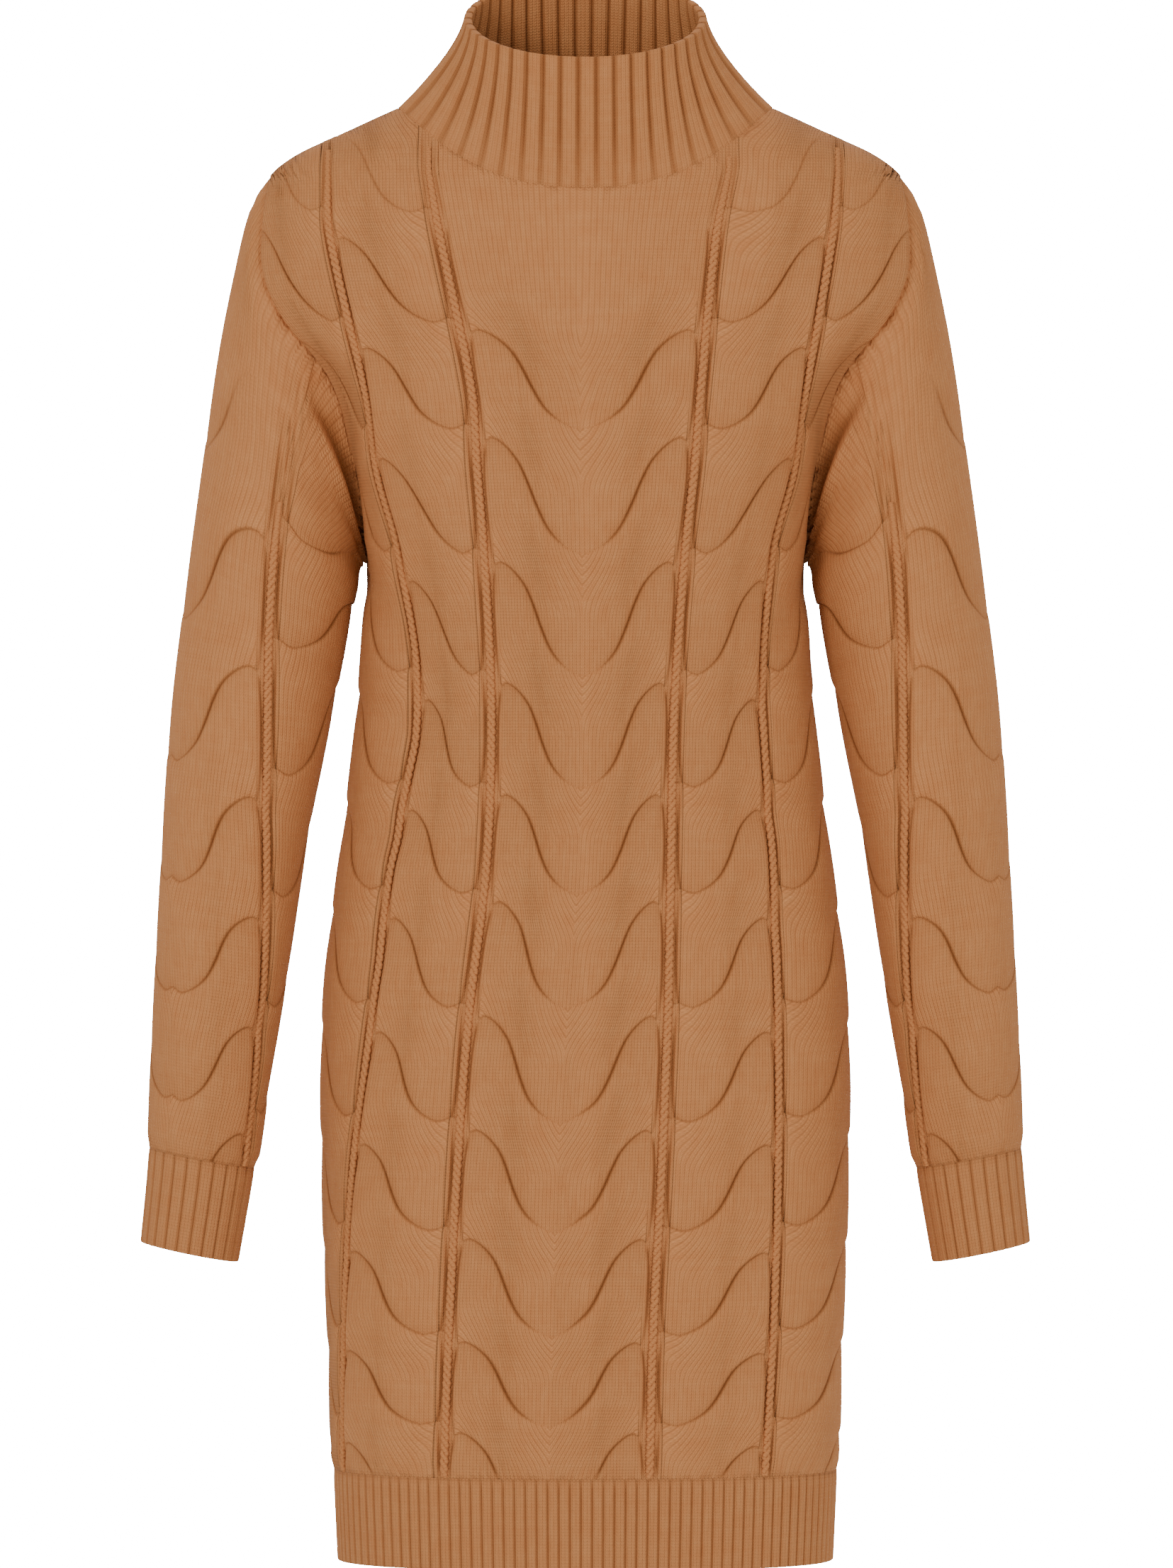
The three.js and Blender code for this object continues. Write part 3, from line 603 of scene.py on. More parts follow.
def wall(name, node, outer, inner, turned, material, mirrored=False):
    """Makes the closed wall between an outer and an inner grid, and hides the node's part, which it replaces.
    """
    turned = turned != mirrored
    flat_points = [grid.points.reshape(-1, 3) * (-1 if mirrored else 1, 1, 1) for grid in (outer, inner)]
    outer_points, inner_points = flat_points
    offset = len(outer_points)
    faces = []
    knit = []
    for grid, start, flip in ((outer, 0, turned), (inner, offset, not turned)):
        for corners, places in grid.faces():
            order = slice(None, None, -1 if flip else 1)
            faces += (corners + start)[:, order].tolist()
            knit.append(places[:, order].reshape(-1, 2))
    for outer_edge, inner_edge, flip in zip(outer.edges(), inner.edges(), (False, True, True, False)):
        outer_edge = outer_edge[np.concatenate([[True], np.diff(outer_edge) != 0])]
        rim = zip_edges(outer_edge.tolist(), (inner_edge + offset).tolist(), along(outer_points[outer_edge]),
                        along(inner_points[inner_edge]), flip == turned)
        faces += rim
        knit.append(np.zeros((3 * len(rim), 2)))
    mesh = bpy.data.meshes.new(name)
    mesh.from_pydata((np.concatenate(flat_points) * MM).tolist(), [], faces)
    uv_map = mesh.uv_layers.new(name="knit")
    uv_map.data.foreach_set("uv", np.concatenate(knit).ravel().astype(np.float32))
    # The painted shade and the lean of the stitches are kept on the points for the material.
    for key in ("painted_shade", "lean"):
        attribute = mesh.attributes.new(key, "FLOAT", "POINT")
        values = np.concatenate([getattr(grid, key).ravel() for grid in (outer, inner)])
        attribute.data.foreach_set("value", values.astype(np.float32))
    tidy = bmesh.new()
    tidy.from_mesh(mesh)
    loose = [vertex for vertex in tidy.verts if not vertex.link_faces]
    bmesh.ops.delete(tidy, geom=loose, context="VERTS")
    tidy.to_mesh(mesh)
    tidy.free()
    mesh.polygons.foreach_set("use_smooth", [True] * len(mesh.polygons))
    mesh.materials.append(material)
    piece = add_object(name, mesh)
    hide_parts(node)
    return finish_piece(piece)


# %% [markdown]
# ## The knit as a material
# Plain knitting is a field of small V's, one column of them for each wale. The pattern follows the
# piece's own map, in which one unit is one stitch, so it leans where the crossings lean. Each V is two
# slanted legs with a gap between them; painted shade darkens the gaps and a painted highlight lightens
# the legs. Loose fibres and a slight unevenness of the dye keep it from looking printed, and the creases,
# gutters and seams are painted with shade because little light reaches into them.

# %% The yarn and its stitches
def linear(red, green, blue):
    """A colour as a screen shows it, from 0 to 255, as the light that a material needs."""
    share = np.array((red, green, blue)) / 255
    light = np.where(share <= 0.04045, share / 12.92, ((share + 0.055) / 1.055) ** 2.4)
    return (*light.tolist(), 1)


CAMEL = linear(198, 126, 74)
CAMEL_SHADE = linear(112, 56, 14)
CAMEL_LIGHT = linear(212, 146, 92)
WALE_EDGE = 0.9
STITCH_SLANT = 0.55
MEAN_STITCH = 0.56
FIBRE_SCALE = 1200.0
CLOUD_SCALE = 60.0
YARN_ROUGHNESS = 0.82
NAP = 0.18


def new_yarn(name):
    """An empty material with its graph, the place on the dress and the fibres that cover the yarn."""
    material = bpy.data.materials.new(name)
    material.use_nodes = True
    material.node_tree.nodes.clear()
    graph = Graph(material.node_tree)
    place = graph.node("ShaderNodeTexCoord", output="Object")
    return material, graph, place, graph.noise(place, FIBRE_SCALE, 3.0)


def yarn_shader(graph, colour, fibres, relief, strength, depth):
    """Rough yarn with a short, pale nap."""
    bump = graph.node("ShaderNodeBump", {}, {"Strength": strength, "Distance": depth, "Height": relief})
    shader = graph.node("ShaderNodeBsdfPrincipled", {}, {
        "Base Color": colour,
        "Roughness": YARN_ROUGHNESS + 0.15 * fibres,
        "Sheen Weight": NAP,
        "Sheen Roughness": 0.5,
        "Sheen Tint": CAMEL_LIGHT,
        "Specular IOR Level": 0.2,
        "Normal": bump,
    })
    graph.node("ShaderNodeOutputMaterial", {}, {"Surface": shader})


def knit_material(name, tone=1.0, contrast=1.0):
    material, graph, place, fibres = new_yarn(name)
    knit_map = graph.node("ShaderNodeUVMap", {"uv_map": "knit"})
    wale, course = [graph.node("ShaderNodeSeparateXYZ", {}, {0: knit_map}, axis) for axis in (0, 1)]
    painted_shade = graph.attribute("painted_shade")
    lean = graph.attribute("lean")

    from_middle = (wale.fraction() * 2 - 1).size()
    border = from_middle * from_middle * from_middle * WALE_EDGE
    valley = graph.node("ShaderNodeMath", {"operation": "MAXIMUM"}, {0: 1 - from_middle * 4, 1: 0.0}) * 0.4
    strand = 0.5 + 0.5 * ((course - from_middle * STITCH_SLANT) * (2 * np.pi)).cosine()
    stitch = (1 - border - valley) * (0.55 + 0.45 * strand)

    cloud = graph.noise(place, CLOUD_SCALE, 4.0)
    streaks = graph.noise(graph.vector("MULTIPLY", knit_map, (0.9, 0.12, 0)), 1.0, 3.0)
    bars = graph.noise(graph.vector("MULTIPLY", knit_map, (0.05, 0.6, 0)), 1.0, 2.0)

    # Painted shade in the gaps between the legs and a painted highlight on the legs, round their mean, with
    # more contrast where the stitches lean.
    gap = (MEAN_STITCH - stitch) * (0.28 + 0.22 * lean) * contrast + 0.15
    # The stored painted shade of the creases, gutters and seams and the painted shade of the gaps both mix
    # the colour towards CAMEL_SHADE.
    dark = graph.clamped_sum(painted_shade * 0.9, gap * (1 - painted_shade))
    light = graph.clamped_sum(cloud * 0.5 + fibres * 0.3, streaks * 1.1 + bars * 0.5 - 0.75)
    colour = graph.blend(dark, graph.blend(light, CAMEL, CAMEL_LIGHT), CAMEL_SHADE)
    colour = graph.blend(1.0, colour, (tone, tone, tone, 1), "MULTIPLY")
    yarn_shader(graph, colour, fibres, stitch * 0.9 + fibres * 0.3 + streaks * 0.35, 0.9, 0.0008)
    return material


camel_cable = knit_material("camel_cable_knit")
camel_rib = knit_material("camel_rib_knit", tone=0.98, contrast=0.7)

# %% [markdown]
# ## Front and back
# A panel is a row of strips: a cable, a rope, a cable, a rope and half of the wide middle cable, then
# the same again. The columns of the grid crowd towards the ropes, where the relief is steep, and the
# rows crowd towards the creases.

# %% Columns and rows of a panel
CABLE_PARTS = np.concatenate([[0, 0.012, 0.03, 0.055, 0.09], np.linspace(0.13, 0.87, 17),
                              [0.91, 0.945, 0.97, 0.988]])
ROPE_PLACES = np.array([-7, -6.4, -5.8, -5.3, -4.9, -4.5, -4.1, -3.5, -2.4, 0,
                        2.4, 3.5, 4.1, 4.5, 4.9, 5.3, 5.8, 6.4])
ROPE_HALF = 7
WALES_PER_CABLE = 26
WALES_PER_ROPE = 6
COURSE = 1.9
LEAN_WALES = 6.5
LINE_OFFSETS = np.array([0.45, 0.9, 1.5, 2.4, 3.8, 6.0])
MIDDLE_ROWS = 7
NECK_PART = 0.75
NECK_HOLD_Z = -150
SIDE_RISE = 6
ARMHOLE_TROUGH = 3.0
TROUGH_PLACE = 6
SHOULDER_HEIGHT = 1.9
SEAM_HEIGHT = 1.0
SIDE_HEIGHT = 0.5
PLAIN_HEIGHT = 1.8
SPREAD_ROWS = 4
EDGE_ROOM = 0.3
INNER_ROWS = 110
YOKE_ENDS = (2.9, 4.05)
SHOULDER_ENDS = (30, 110)
SHOULDER_RELIEF = 0.55
SEAM_SETTLE = 22
HEM_SETTLE = 9
ARMHOLE_STARTS = (195, 245)
UNDERARM_BLEND = 40
# Painted shade in the trough beside the armhole, and along the side seam and the armhole seam:
ARMHOLE_DARK = 0.6
SIDE_SEAM_DARK = 0.25
ARMHOLE_SEAM_DARK = 0.05
FOLD_BEND = 0.12
FOLDS_FREE = 25
SIDE_FREE = 12


class Strip:
    """A cable between two places across a piece or, where it has no arch side, a rope."""

    def __init__(self, start, end, arch_left=None, drop=0.0, reach=1.0):
        self.start = start
        self.end = end
        self.arch_left = arch_left
        self.drop = drop
        self.reach = reach
        self.is_rope = arch_left is None


class Column:
    """One column of a panel or sleeve: where it is in its strip, and which strips it lies between."""

    def __init__(self, strip, part, across=0.0, wale=0.0, before=None, after=None):
        self.strip = strip
        self.part = part
        self.across = across
        self.wale = wale
        self.before = before
        self.after = after
        self.drop = mix(before.drop, after.drop, part) if strip.is_rope and before else strip.drop
        self.mirror = 0 if strip.is_rope else -1 if strip.arch_left else 1


def strip_columns(strips):
    """The columns of a row of strips. Where two cables meet, each has a column of its own there."""
    columns = []
    wale = 0
    for i, strip in enumerate(strips):
        before, after = strips[i - 1], strips[(i + 1) % len(strips)]
        if strip.is_rope:
            wales = WALES_PER_ROPE
            parts = (ROPE_PLACES + ROPE_HALF) / (2 * ROPE_HALF)
            acrosses = mix(float(before.arch_left), float(not after.arch_left), parts)
        else:
            wales = WALES_PER_CABLE
            parts = CABLE_PARTS if after.is_rope else np.append(CABLE_PARTS, 1.0)
            acrosses = strip.reach * (parts if strip.arch_left else 1 - parts)
        columns += [Column(strip, part, across, wale + part * wales, before, after)
                    for part, across in zip(parts, acrosses)]
        wale += wales
    return columns


def row_plan(first, last):
    """Rows as (crease above, share of the way to the next, offsets in mm from the two)."""
    rows = []
    widest = LINE_OFFSETS[-1]
    for k in range(first, last):
        rows.append((k, 0, 0, 0))
        rows += [(k, 0, offset, 0) for offset in LINE_OFFSETS[:-1]]
        steps = np.linspace(0, 1, MIDDLE_ROWS + 2)
        rows += [(k, step, widest, widest) for step in steps]
        rows += [(k, 1, 0, offset) for offset in LINE_OFFSETS[-2::-1]]
    rows.append((last, 0, 0, 0))
    return np.array(rows, float)


def free_heights(plan, heights, across, drop, lift):
    k = plan[:, 0].astype(int)
    upper = line_height(heights, k, across, drop, lift)
    lower = line_height(heights, k + 1, across, drop, lift)
    slant = line_slant(heights, k, across, drop)
    return mix(upper - plan[:, 2] * slant, lower + plan[:, 3] * slant, plan[:, 1])


# %% Relief of one column
def beside_gutter(full, from_gutter, depth):
    """The height and painted shade at a distance from a gutter, where the cloth is full high away from it."""
    edge = rounded(np.maximum(from_gutter, 0), GUTTER_ROUND)
    height = full * edge + (1 - edge) * (1 - depth) * GUTTER_FILL
    return height, GUTTER_DARK * depth * bell(from_gutter, GUTTER_WIDTH)


def crease_line(heights, z, across, drop, lift, in_middle):
    """The share between two creases, how far the nearer one is, its strength, and what lies on it."""
    above, between = between_lines(heights, z, across, drop, lift)
    slant = line_slant(heights, above, across, drop)
    to_upper = np.maximum(line_height(heights, above, across, drop, lift) - z, 0) / slant
    to_lower = np.maximum(z - line_height(heights, above + 1, across, drop, lift), 0) / slant
    strength = crease_strength(across, in_middle)
    below = cable_height(across, 0.0)
    over = cable_height(across, 1.0)
    on_low_side = np.where(to_upper < to_lower, below < over, over < below)
    foot = min(below, over) - CREASE_DEPTH * strength
    return between, np.minimum(to_upper, to_lower), strength, foot, on_low_side


# Painted shade along a crease, and a softer painted shadow spread over its lower side.
def crease_darkness(distance, strength, on_low_side):
    line = strength * bell(distance, DARK_WIDTH * (0.5 + 0.5 * strength))
    return np.maximum(line, np.where(on_low_side, SHADE_DARK * strength * np.exp(-distance / SHADE_WIDTH), 0))


def cable_relief(column, heights, z, lift, cabled, in_middle):
    across, drop, strip = column.across, column.drop, column.strip
    between, distance, strength, foot, on_low_side = crease_line(heights, z, across, drop, lift, in_middle)
    height = mix(foot, cable_height(across, between), rounded(distance, CREASE_ROUND))
    height = mix(PLAIN_HEIGHT, height, cabled)
    painted_shade = crease_darkness(distance, strength, on_low_side) * cabled
    for beside, at_arch, part in ((column.before, strip.arch_left, column.part),
                                  (column.after, not strip.arch_left, 1 - column.part)):
        if beside.is_rope:
            _, side_between = between_lines(heights, z, 0.0 if at_arch else 1.0, drop, lift)
            from_gutter = ROPE_HALF + part * CABLE_WIDTH - gutter_place(side_between)
            height, dark = beside_gutter(height, from_gutter, gutter_strength(side_between, at_arch))
            painted_shade = np.maximum(painted_shade, dark)
    lean = np.sin(np.pi * knit_lean(across, between)) ** 2 * cabled
    return height, painted_shade, lean


def rope_relief(column, heights, z, lift):
    place = (2 * column.part - 1) * ROPE_HALF
    at_arch = not column.before.arch_left if place < 0 else column.after.arch_left
    across, drop = (0.0 if at_arch else 1.0), (column.before if place < 0 else column.after).drop
    between, distance, strength, foot, on_low_side = crease_line(heights, z, across, drop, lift, False)
    depth = gutter_strength(between, at_arch)
    from_gutter = abs(place) - gutter_place(between)
    full = mix(foot, cable_height(across, between), rounded(distance, CREASE_ROUND))
    height, painted_shade = beside_gutter(full, from_gutter, depth)
    outside = smoothstep(from_gutter, 0, 1)
    painted_shade = np.maximum(painted_shade, outside * crease_darkness(distance, strength, on_low_side))
    return np.where(from_gutter > 0, height, (1 - depth) * GUTTER_FILL), painted_shade, np.zeros(len(z))


def column_relief(column, heights, z, lift, cabled, in_middle=False):
    """Height above the base, painted shade of the creases and gutters, and lean of the stitches, at
    each height.
    """
    if column.strip.is_rope:
        return rope_relief(column, heights, z, lift)
    return cable_relief(column, heights, z, lift, cabled, in_middle)


# %% The outside of a piece, column by column
class Knitting:
    """The outside of a panel or sleeve, which is filled in column by column."""

    def __init__(self, plan, columns):
        shape = (len(plan), len(columns))
        self.plan = plan
        self.columns = columns
        self.points = np.zeros((*shape, 3))
        self.painted_shade = np.zeros(shape)
        self.lean = np.zeros(shape)
        self.knit = np.zeros((2, *shape, 2))
        self.first = np.zeros(shape[1], int)
        self.last = np.zeros(shape[1], int)

    def heights(self, c, creases, lift, top, foot):
        """The heights of the rows in a column. Those past an edge will be gathered into it."""
        column = self.columns[c]
        z = free_heights(self.plan, creases, column.across, column.drop, lift)
        self.first[c] = np.argmax(z < top - EDGE_ROOM)
        self.last[c] = len(z) - 1 - np.argmax((z > foot + EDGE_ROOM)[::-1])
        z = np.clip(z, foot, top)
        z[0] = top
        z[-1] = foot
        return z

    def fill(self, c, points, painted_shade, lean, shift, share, z):
        """Fills in a column, whose stitches shift sideways by a number of wales through a crossing."""
        column = self.columns[c]
        self.points[:, c] = points
        self.painted_shade[:, c] = painted_shade
        self.lean[:, c] = lean
        on_crease = (self.plan[:, 1:] == 0).all(axis=1)
        for knit, share_there in zip(self.knit, (1.0, 0.0)):
            step = knit_lean(column.across, np.where(on_crease, share_there, share))
            knit[:, c, 0] = column.wale + column.mirror * shift * step
            knit[:, c, 1] = z / COURSE

    def grid(self, ring):
        """The grid, in which two cables that meet share one set of vertices."""
        grid = Grid(self.points, *self.knit, self.painted_shade, self.lean, ring=ring)
        grid.gather(self.first, self.last)
        for c, column in enumerate(self.columns):
            if column.part == 1.0 and c + 1 < len(self.columns):
                grid.index[:, c + 1] = grid.index[:, c]
            elif column.part == 1.0 and ring:
                grid.index[:, c] = grid.index[:, 0]
        return grid


# %% Knit a panel
BODY_STRIPS = [
    Strip("left_edge", "outer_left", True, SIDE_DROP),
    Strip("outer_left", "outer_left"),
    Strip("outer_left", "inner_left", True, SIDE_DROP),
    Strip("inner_left", "inner_left"),
    Strip("inner_left", "middle", True, MIDDLE_DROP, MIDDLE_REACH),
    Strip("middle", "inner_right", False, MIDDLE_DROP, MIDDLE_REACH),
    Strip("inner_right", "inner_right"),
    Strip("inner_right", "outer_right", False, SIDE_DROP),
    Strip("outer_right", "outer_right"),
    Strip("outer_right", "right_edge", False, SIDE_DROP),
]
BODY_PLAN = row_plan(1, 15)
body_columns = strip_columns(BODY_STRIPS)
rope_names = {strip.start for strip in BODY_STRIPS if strip.is_rope}


def break_angle(name, level):
    """The angle of a rope, of the panel's middle or of one of its side edges."""
    if name in rope_x:
        return angle_at(rope_x[name](level), level)
    return edge_angle(level) * (1 if name == "right_edge" else -1)


def column_angle(column, z):
    """The angle of a column at each height. It ends on the shoulder seam or the neckline."""
    z = np.asarray(z, float)
    level = np.minimum(z, SHOULDER_TIP_Z)
    strip, part = column.strip, column.part
    rope = ROPE_HALF / half_width(level)
    if strip.is_rope:
        angle = break_angle(strip.start, level) + rope * (2 * part - 1)
    else:
        start = break_angle(strip.start, level) + (rope if strip.start in rope_names else 0)
        end = break_angle(strip.end, level) - (rope if strip.end in rope_names else 0)
        angle = mix(start, end, part)
        if {strip.start, strip.end} <= rope_names:
            neck_part = NECK_PART if strip.arch_left else 1 - NECK_PART
            neck = angle_at(NECK_HALF_WIDTH, level) * (-1 if strip.arch_left else 1)
            held = mix(mix(start, end, neck_part), neck, smoothstep(level, NECK_HOLD_Z, SHOULDER_TIP_Z))
            if part < neck_part:
                angle = mix(start, held, part / neck_part)
            else:
                angle = mix(held, end, (part - neck_part) / (1 - neck_part))
    x = half_width(SHOULDER_TIP_Z) * signed_power(np.sin(angle))
    return np.where(z <= SHOULDER_TIP_Z, angle, angle_at(x, z))


def column_top(face, column):
    angle = column_angle(column, SHOULDER_TIP_Z)
    return top_edge(face, float(half_width(SHOULDER_TIP_Z) * signed_power(np.sin(angle))))


def folds(rows, x, z):
    """Soft troughs and ridges, as a push along the normal in millimetres."""
    push = np.zeros(np.broadcast(x, z).shape)
    for fold_x, fold_z, turn, length, width, depth in zip(*rows.values()):
        turn = np.radians(turn)
        lengthways = (x - fold_x) * np.cos(turn) + (z - fold_z) * np.sin(turn)
        sideways = (z - fold_z) * np.cos(turn) - (x - fold_x) * np.sin(turn)
        bend = sideways + FOLD_BEND * lengthways**2 / length
        push -= depth * bell(bend, width) * bell(lengthways, 0.6 * length)
    return push


BODY_FOLDS = {
    "front": table("x z turn length width depth", [
        (128, -300, 62, 70, 9, 2.6),
        (-126, -296, -58, 76, 10, 2.8),
        (118, -352, 48, 46, 8, 1.6),
        (-120, -372, -40, 54, 9, 1.8),
        (112, -430, 12, 60, 12, 1.8),
        (-116, -446, -18, 70, 13, 2.2),
        (96, -505, 28, 64, 14, 1.4),
        (-104, -532, -34, 58, 12, 1.6),
        (20, -600, 8, 90, 20, 1.2),
        (-60, -700, 74, 110, 16, 1.3),
        (84, -742, 82, 90, 15, 1.2),
        (150, -170, 58, 60, 8, 1.8),
        (-152, -168, -54, 52, 9, 2.0),
    ]),
    "back": table("x z turn length width depth", [
        (124, -304, 56, 74, 10, 2.6),
        (-128, -300, -60, 66, 9, 2.4),
        (92, -410, 20, 84, 13, 2.6),
        (-84, -424, -14, 92, 14, 2.8),
        (40, -440, 6, 70, 11, 1.8),
        (-30, -462, -8, 80, 13, 2.0),
        (106, -470, 30, 56, 12, 1.8),
        (-110, -486, -26, 62, 11, 1.9),
        (58, -690, 78, 120, 18, 1.4),
        (-72, -740, 84, 100, 17, 1.3),
        (148, -172, 60, 56, 9, 1.8),
        (-150, -176, -56, 60, 8, 1.8),
    ]),
}


def side_distance(column):
    """Millimetres from the nearer side seam or armhole, along the cloth, in the outermost cables."""
    if column.strip.start == "left_edge":
        return column.part * CABLE_WIDTH
    if column.strip.end == "right_edge":
        return (1 - column.part) * CABLE_WIDTH
    return CABLE_WIDTH


def beside_armhole(z):
    return smoothstep(z, UNDERARM_Z - UNDERARM_BLEND, UNDERARM_Z) * smoothstep(-z, *ARMHOLE_STARTS)


def body_push(face, column, z, top, base):
    """What moves both faces of the wall: the folds, and the trough along the armhole."""
    inside = smoothstep(top - z, 0, FOLDS_FREE) * smoothstep(z - HEM_RIB_TOP_Z, 0, FOLDS_FREE)
    inside = inside * smoothstep(side_distance(column), 0, SIDE_FREE)
    from_seam = side_distance(column) / TROUGH_PLACE
    trough = beside_armhole(z) * ARMHOLE_TROUGH * from_seam * np.exp(1 - from_seam)
    return folds(BODY_FOLDS[face], base[:, 0], z) * inside - trough


def settle(height, z, top):
    """Lowers the relief on the shoulder, and brings it to one height at a seam above or below."""
    height = mix(SHOULDER_HEIGHT, height, mix(SHOULDER_RELIEF, 1, smoothstep(-z, *SHOULDER_ENDS)))
    height = mix(SEAM_HEIGHT, height, smoothstep(top - z, 0, SEAM_SETTLE))
    return mix(SEAM_HEIGHT, height, smoothstep(z - HEM_RIB_TOP_Z, 0, HEM_SETTLE))


def body_cloth(face, column, z, top, height):
    """Points at a height above a panel's cloth, with its folds, and the normals there."""
    angle = column_angle(column, z)
    base = body_surface(face, angle, z)
    normal = body_normal(face, angle, z)
    push = height + body_push(face, column, z, top, base)
    return base + normal * push[:, None], normal


def body_darkness(dark, from_side, z, top):
    """Fades the painted shade of the creases towards the edges and the shoulder, and paints shade along
    the side seam and armhole.
    """
    dark = dark * mix(SHOULDER_FADE, 1, smoothstep(-z, *SHOULDER_ENDS)) * smoothstep(top - z, 0, 16)
    dark = dark * mix(0.3, 1, smoothstep(z - HEM_RIB_TOP_Z, 0, 6))
    seam_dark = mix(SIDE_SEAM_DARK, ARMHOLE_SEAM_DARK, smoothstep(z, -235, -195))
    dark = np.maximum(dark, seam_dark * bell(from_side, 1.5))
    return np.maximum(dark, beside_armhole(z) * ARMHOLE_DARK * bell(from_side, 3))


def knit_body(face):
    work = Knitting(BODY_PLAN, body_columns)
    for c, column in enumerate(body_columns):
        lift = SIDE_LIFT * float(column_angle(column, WAIST_Z) / (np.pi / 2)) ** 2
        top = column_top(face, column)
        z = work.heights(c, BODY_U, lift, top, HEM_RIB_TOP_Z)
        if column.strip.is_rope:
            spread = work.first[c] + SPREAD_ROWS
            z[:spread] = mix(top, z[spread], (np.arange(spread) / spread) ** 2)
            work.first[c] = 0
        number, share = between_lines(BODY_U, z, column.across, column.drop, lift)
        in_middle = column.strip.reach < 1
        cabled = smoothstep(number + share, *YOKE_ENDS) if in_middle else np.ones(len(z))
        height, dark, lean = column_relief(column, BODY_U, z, lift, cabled, in_middle)
        from_side = side_distance(column)
        height = mix(SIDE_HEIGHT, settle(height, z, top), smoothstep(from_side, 0, SIDE_RISE))
        dark = body_darkness(dark, from_side, z, top)
        points, _ = body_cloth(face, column, z, top, height)
        work.fill(c, points, dark, lean, LEAN_WALES * cabled, share, z)
    inner_points = []
    inner_knit = []
    for column in [column for column in body_columns[:-1:3] if column.part != 1.0] + body_columns[-1:]:
        top = column_top(face, column)
        z = np.linspace(0, 1, INNER_ROWS) * (HEM_RIB_TOP_Z - top) + top
        inner_points.append(body_cloth(face, column, z, top, -WALL)[0])
        inner_knit.append(np.stack([np.full(len(z), column.wale), z / COURSE], axis=-1))
    inner = Grid(np.stack(inner_points, axis=1), np.stack(inner_knit, axis=1))
    return wall(f"{face}_cloth", f"{face}_panel", work.grid(False), inner, face == "back", camel_cable)


front_cloth = knit_body("front")
back_cloth = knit_body("back")

# %% [markdown]
# ## Sleeves
# A sleeve is a tube whose rings tilt: at the armhole a ring follows the seam from the shoulder tip to
# the underarm, and towards the wrist it lies nearly level. The same strips of cable and rope run round
# it, and they turn a little to the front on their way down, as an arm's sleeve does.

# %% The sleeve's plan
SLEEVE_OUTER = table("z x", [
    (-37, 196.5),
    (-54, 207),
    (-89, 215.3),
    (-141, 225.7),
    (-219, 236.5),
    (-297, 247),
    (-375, 256),
    (-480, 262.6),
    (-584, 267.8),
    (-641, 270.2),
    (-700, 275.5),
])
SLEEVE_INNER = table("z x", [
    (-273, 137),
    (-297, 142.4),
    (-323, 147.6),
    (-375, 157.5),
    (-427, 168),
    (-480, 176.6),
    (-532, 184),
    (-584, 192.7),
    (-648, 202),
    (-712, 213),
])
SLEEVE_DEPTH = table("z half_depth middle_y", [
    (-155, 47, 4),
    (-230, 60, 3),
    (-300, 60, 0),
    (-380, 55, -3),
    (-480, 49, -7),
    (-560, 44, -11),
    (-643, 39, -15),
    (-705, 37, -18),
])
ARMHOLE_LEVEL = (SHOULDER_TIP_Z + UNDERARM_Z) / 2
ARMHOLE_TILT = (SHOULDER_TIP_Z - UNDERARM_Z) / 2
STRAIGHT_LEVEL = -380
STRAIGHT_TILT = 6
CAP_END_LEVEL = -260
UNDERARM_FREE = 40
UNDERARM_ROOM = 1
CUFF_LEVEL = -643
CUFF_END_LEVEL = -701
TWIST_FROM = -230
TWIST_TO = -640
TWIST = np.radians(55)
ROPE_EDGE = np.radians(82)
SEAM_FADE = 28
OUTSIDE_HEIGHT = 2.6
OUTSIDE_WIDTH = 0.12
OUTSIDE_SHARE = 0.6
ARMHOLE_HEIGHT = 0.7
# The painted shadow in the groove below the armhole seam, and its width:
GROOVE_DARK = 0.85
GROOVE_WIDTH = 5.5
GROOVE_STARTS = (158, 205)
TUCK_REACH = 5
SLEEVE_LEAN = 3
PLAIN_ABOVE = -185
CABLED_BELOW = -245
ROPE_START = -240

sleeve_outer_x = curve(SLEEVE_OUTER, "z", "x")
sleeve_inner_x = curve(SLEEVE_INNER, "z", "x")
sleeve_half_depth = curve(SLEEVE_DEPTH, "z", "half_depth")
sleeve_middle_y = curve(SLEEVE_DEPTH, "z", "middle_y")


# %% The sleeve's surface
def ring_point(angle, level):
    part = np.clip((ARMHOLE_LEVEL - level) / (ARMHOLE_LEVEL - STRAIGHT_LEVEL), 0, 1)
    tilt = STRAIGHT_TILT + (ARMHOLE_TILT - STRAIGHT_TILT) * (1 - part) ** 2
    free = np.clip((ARMHOLE_LEVEL - level) / UNDERARM_FREE, 0, 1)
    outer = sleeve_outer_x(level + tilt) - SURFACE_INSET
    inner = sleeve_inner_x(level - tilt) + mix(-SURFACE_INSET, SURFACE_INSET + UNDERARM_ROOM, free)
    depth = sleeve_half_depth(level) - SURFACE_INSET
    x = (outer + inner) / 2 + (outer - inner) / 2 * np.cos(angle)
    y = sleeve_middle_y(level) - depth * np.sin(angle)
    z = level + tilt * np.cos(angle)
    return np.stack(np.broadcast_arrays(x, y, z), axis=-1)


def armhole_point(angle):
    z = ARMHOLE_LEVEL + ARMHOLE_TILT * np.cos(angle)
    on_back = np.broadcast_to((np.sin(angle) < 0)[..., None], (*np.shape(z), 3))
    edge = edge_angle(z)
    return np.where(on_back, body_surface("back", edge, z), body_surface("front", edge, z))


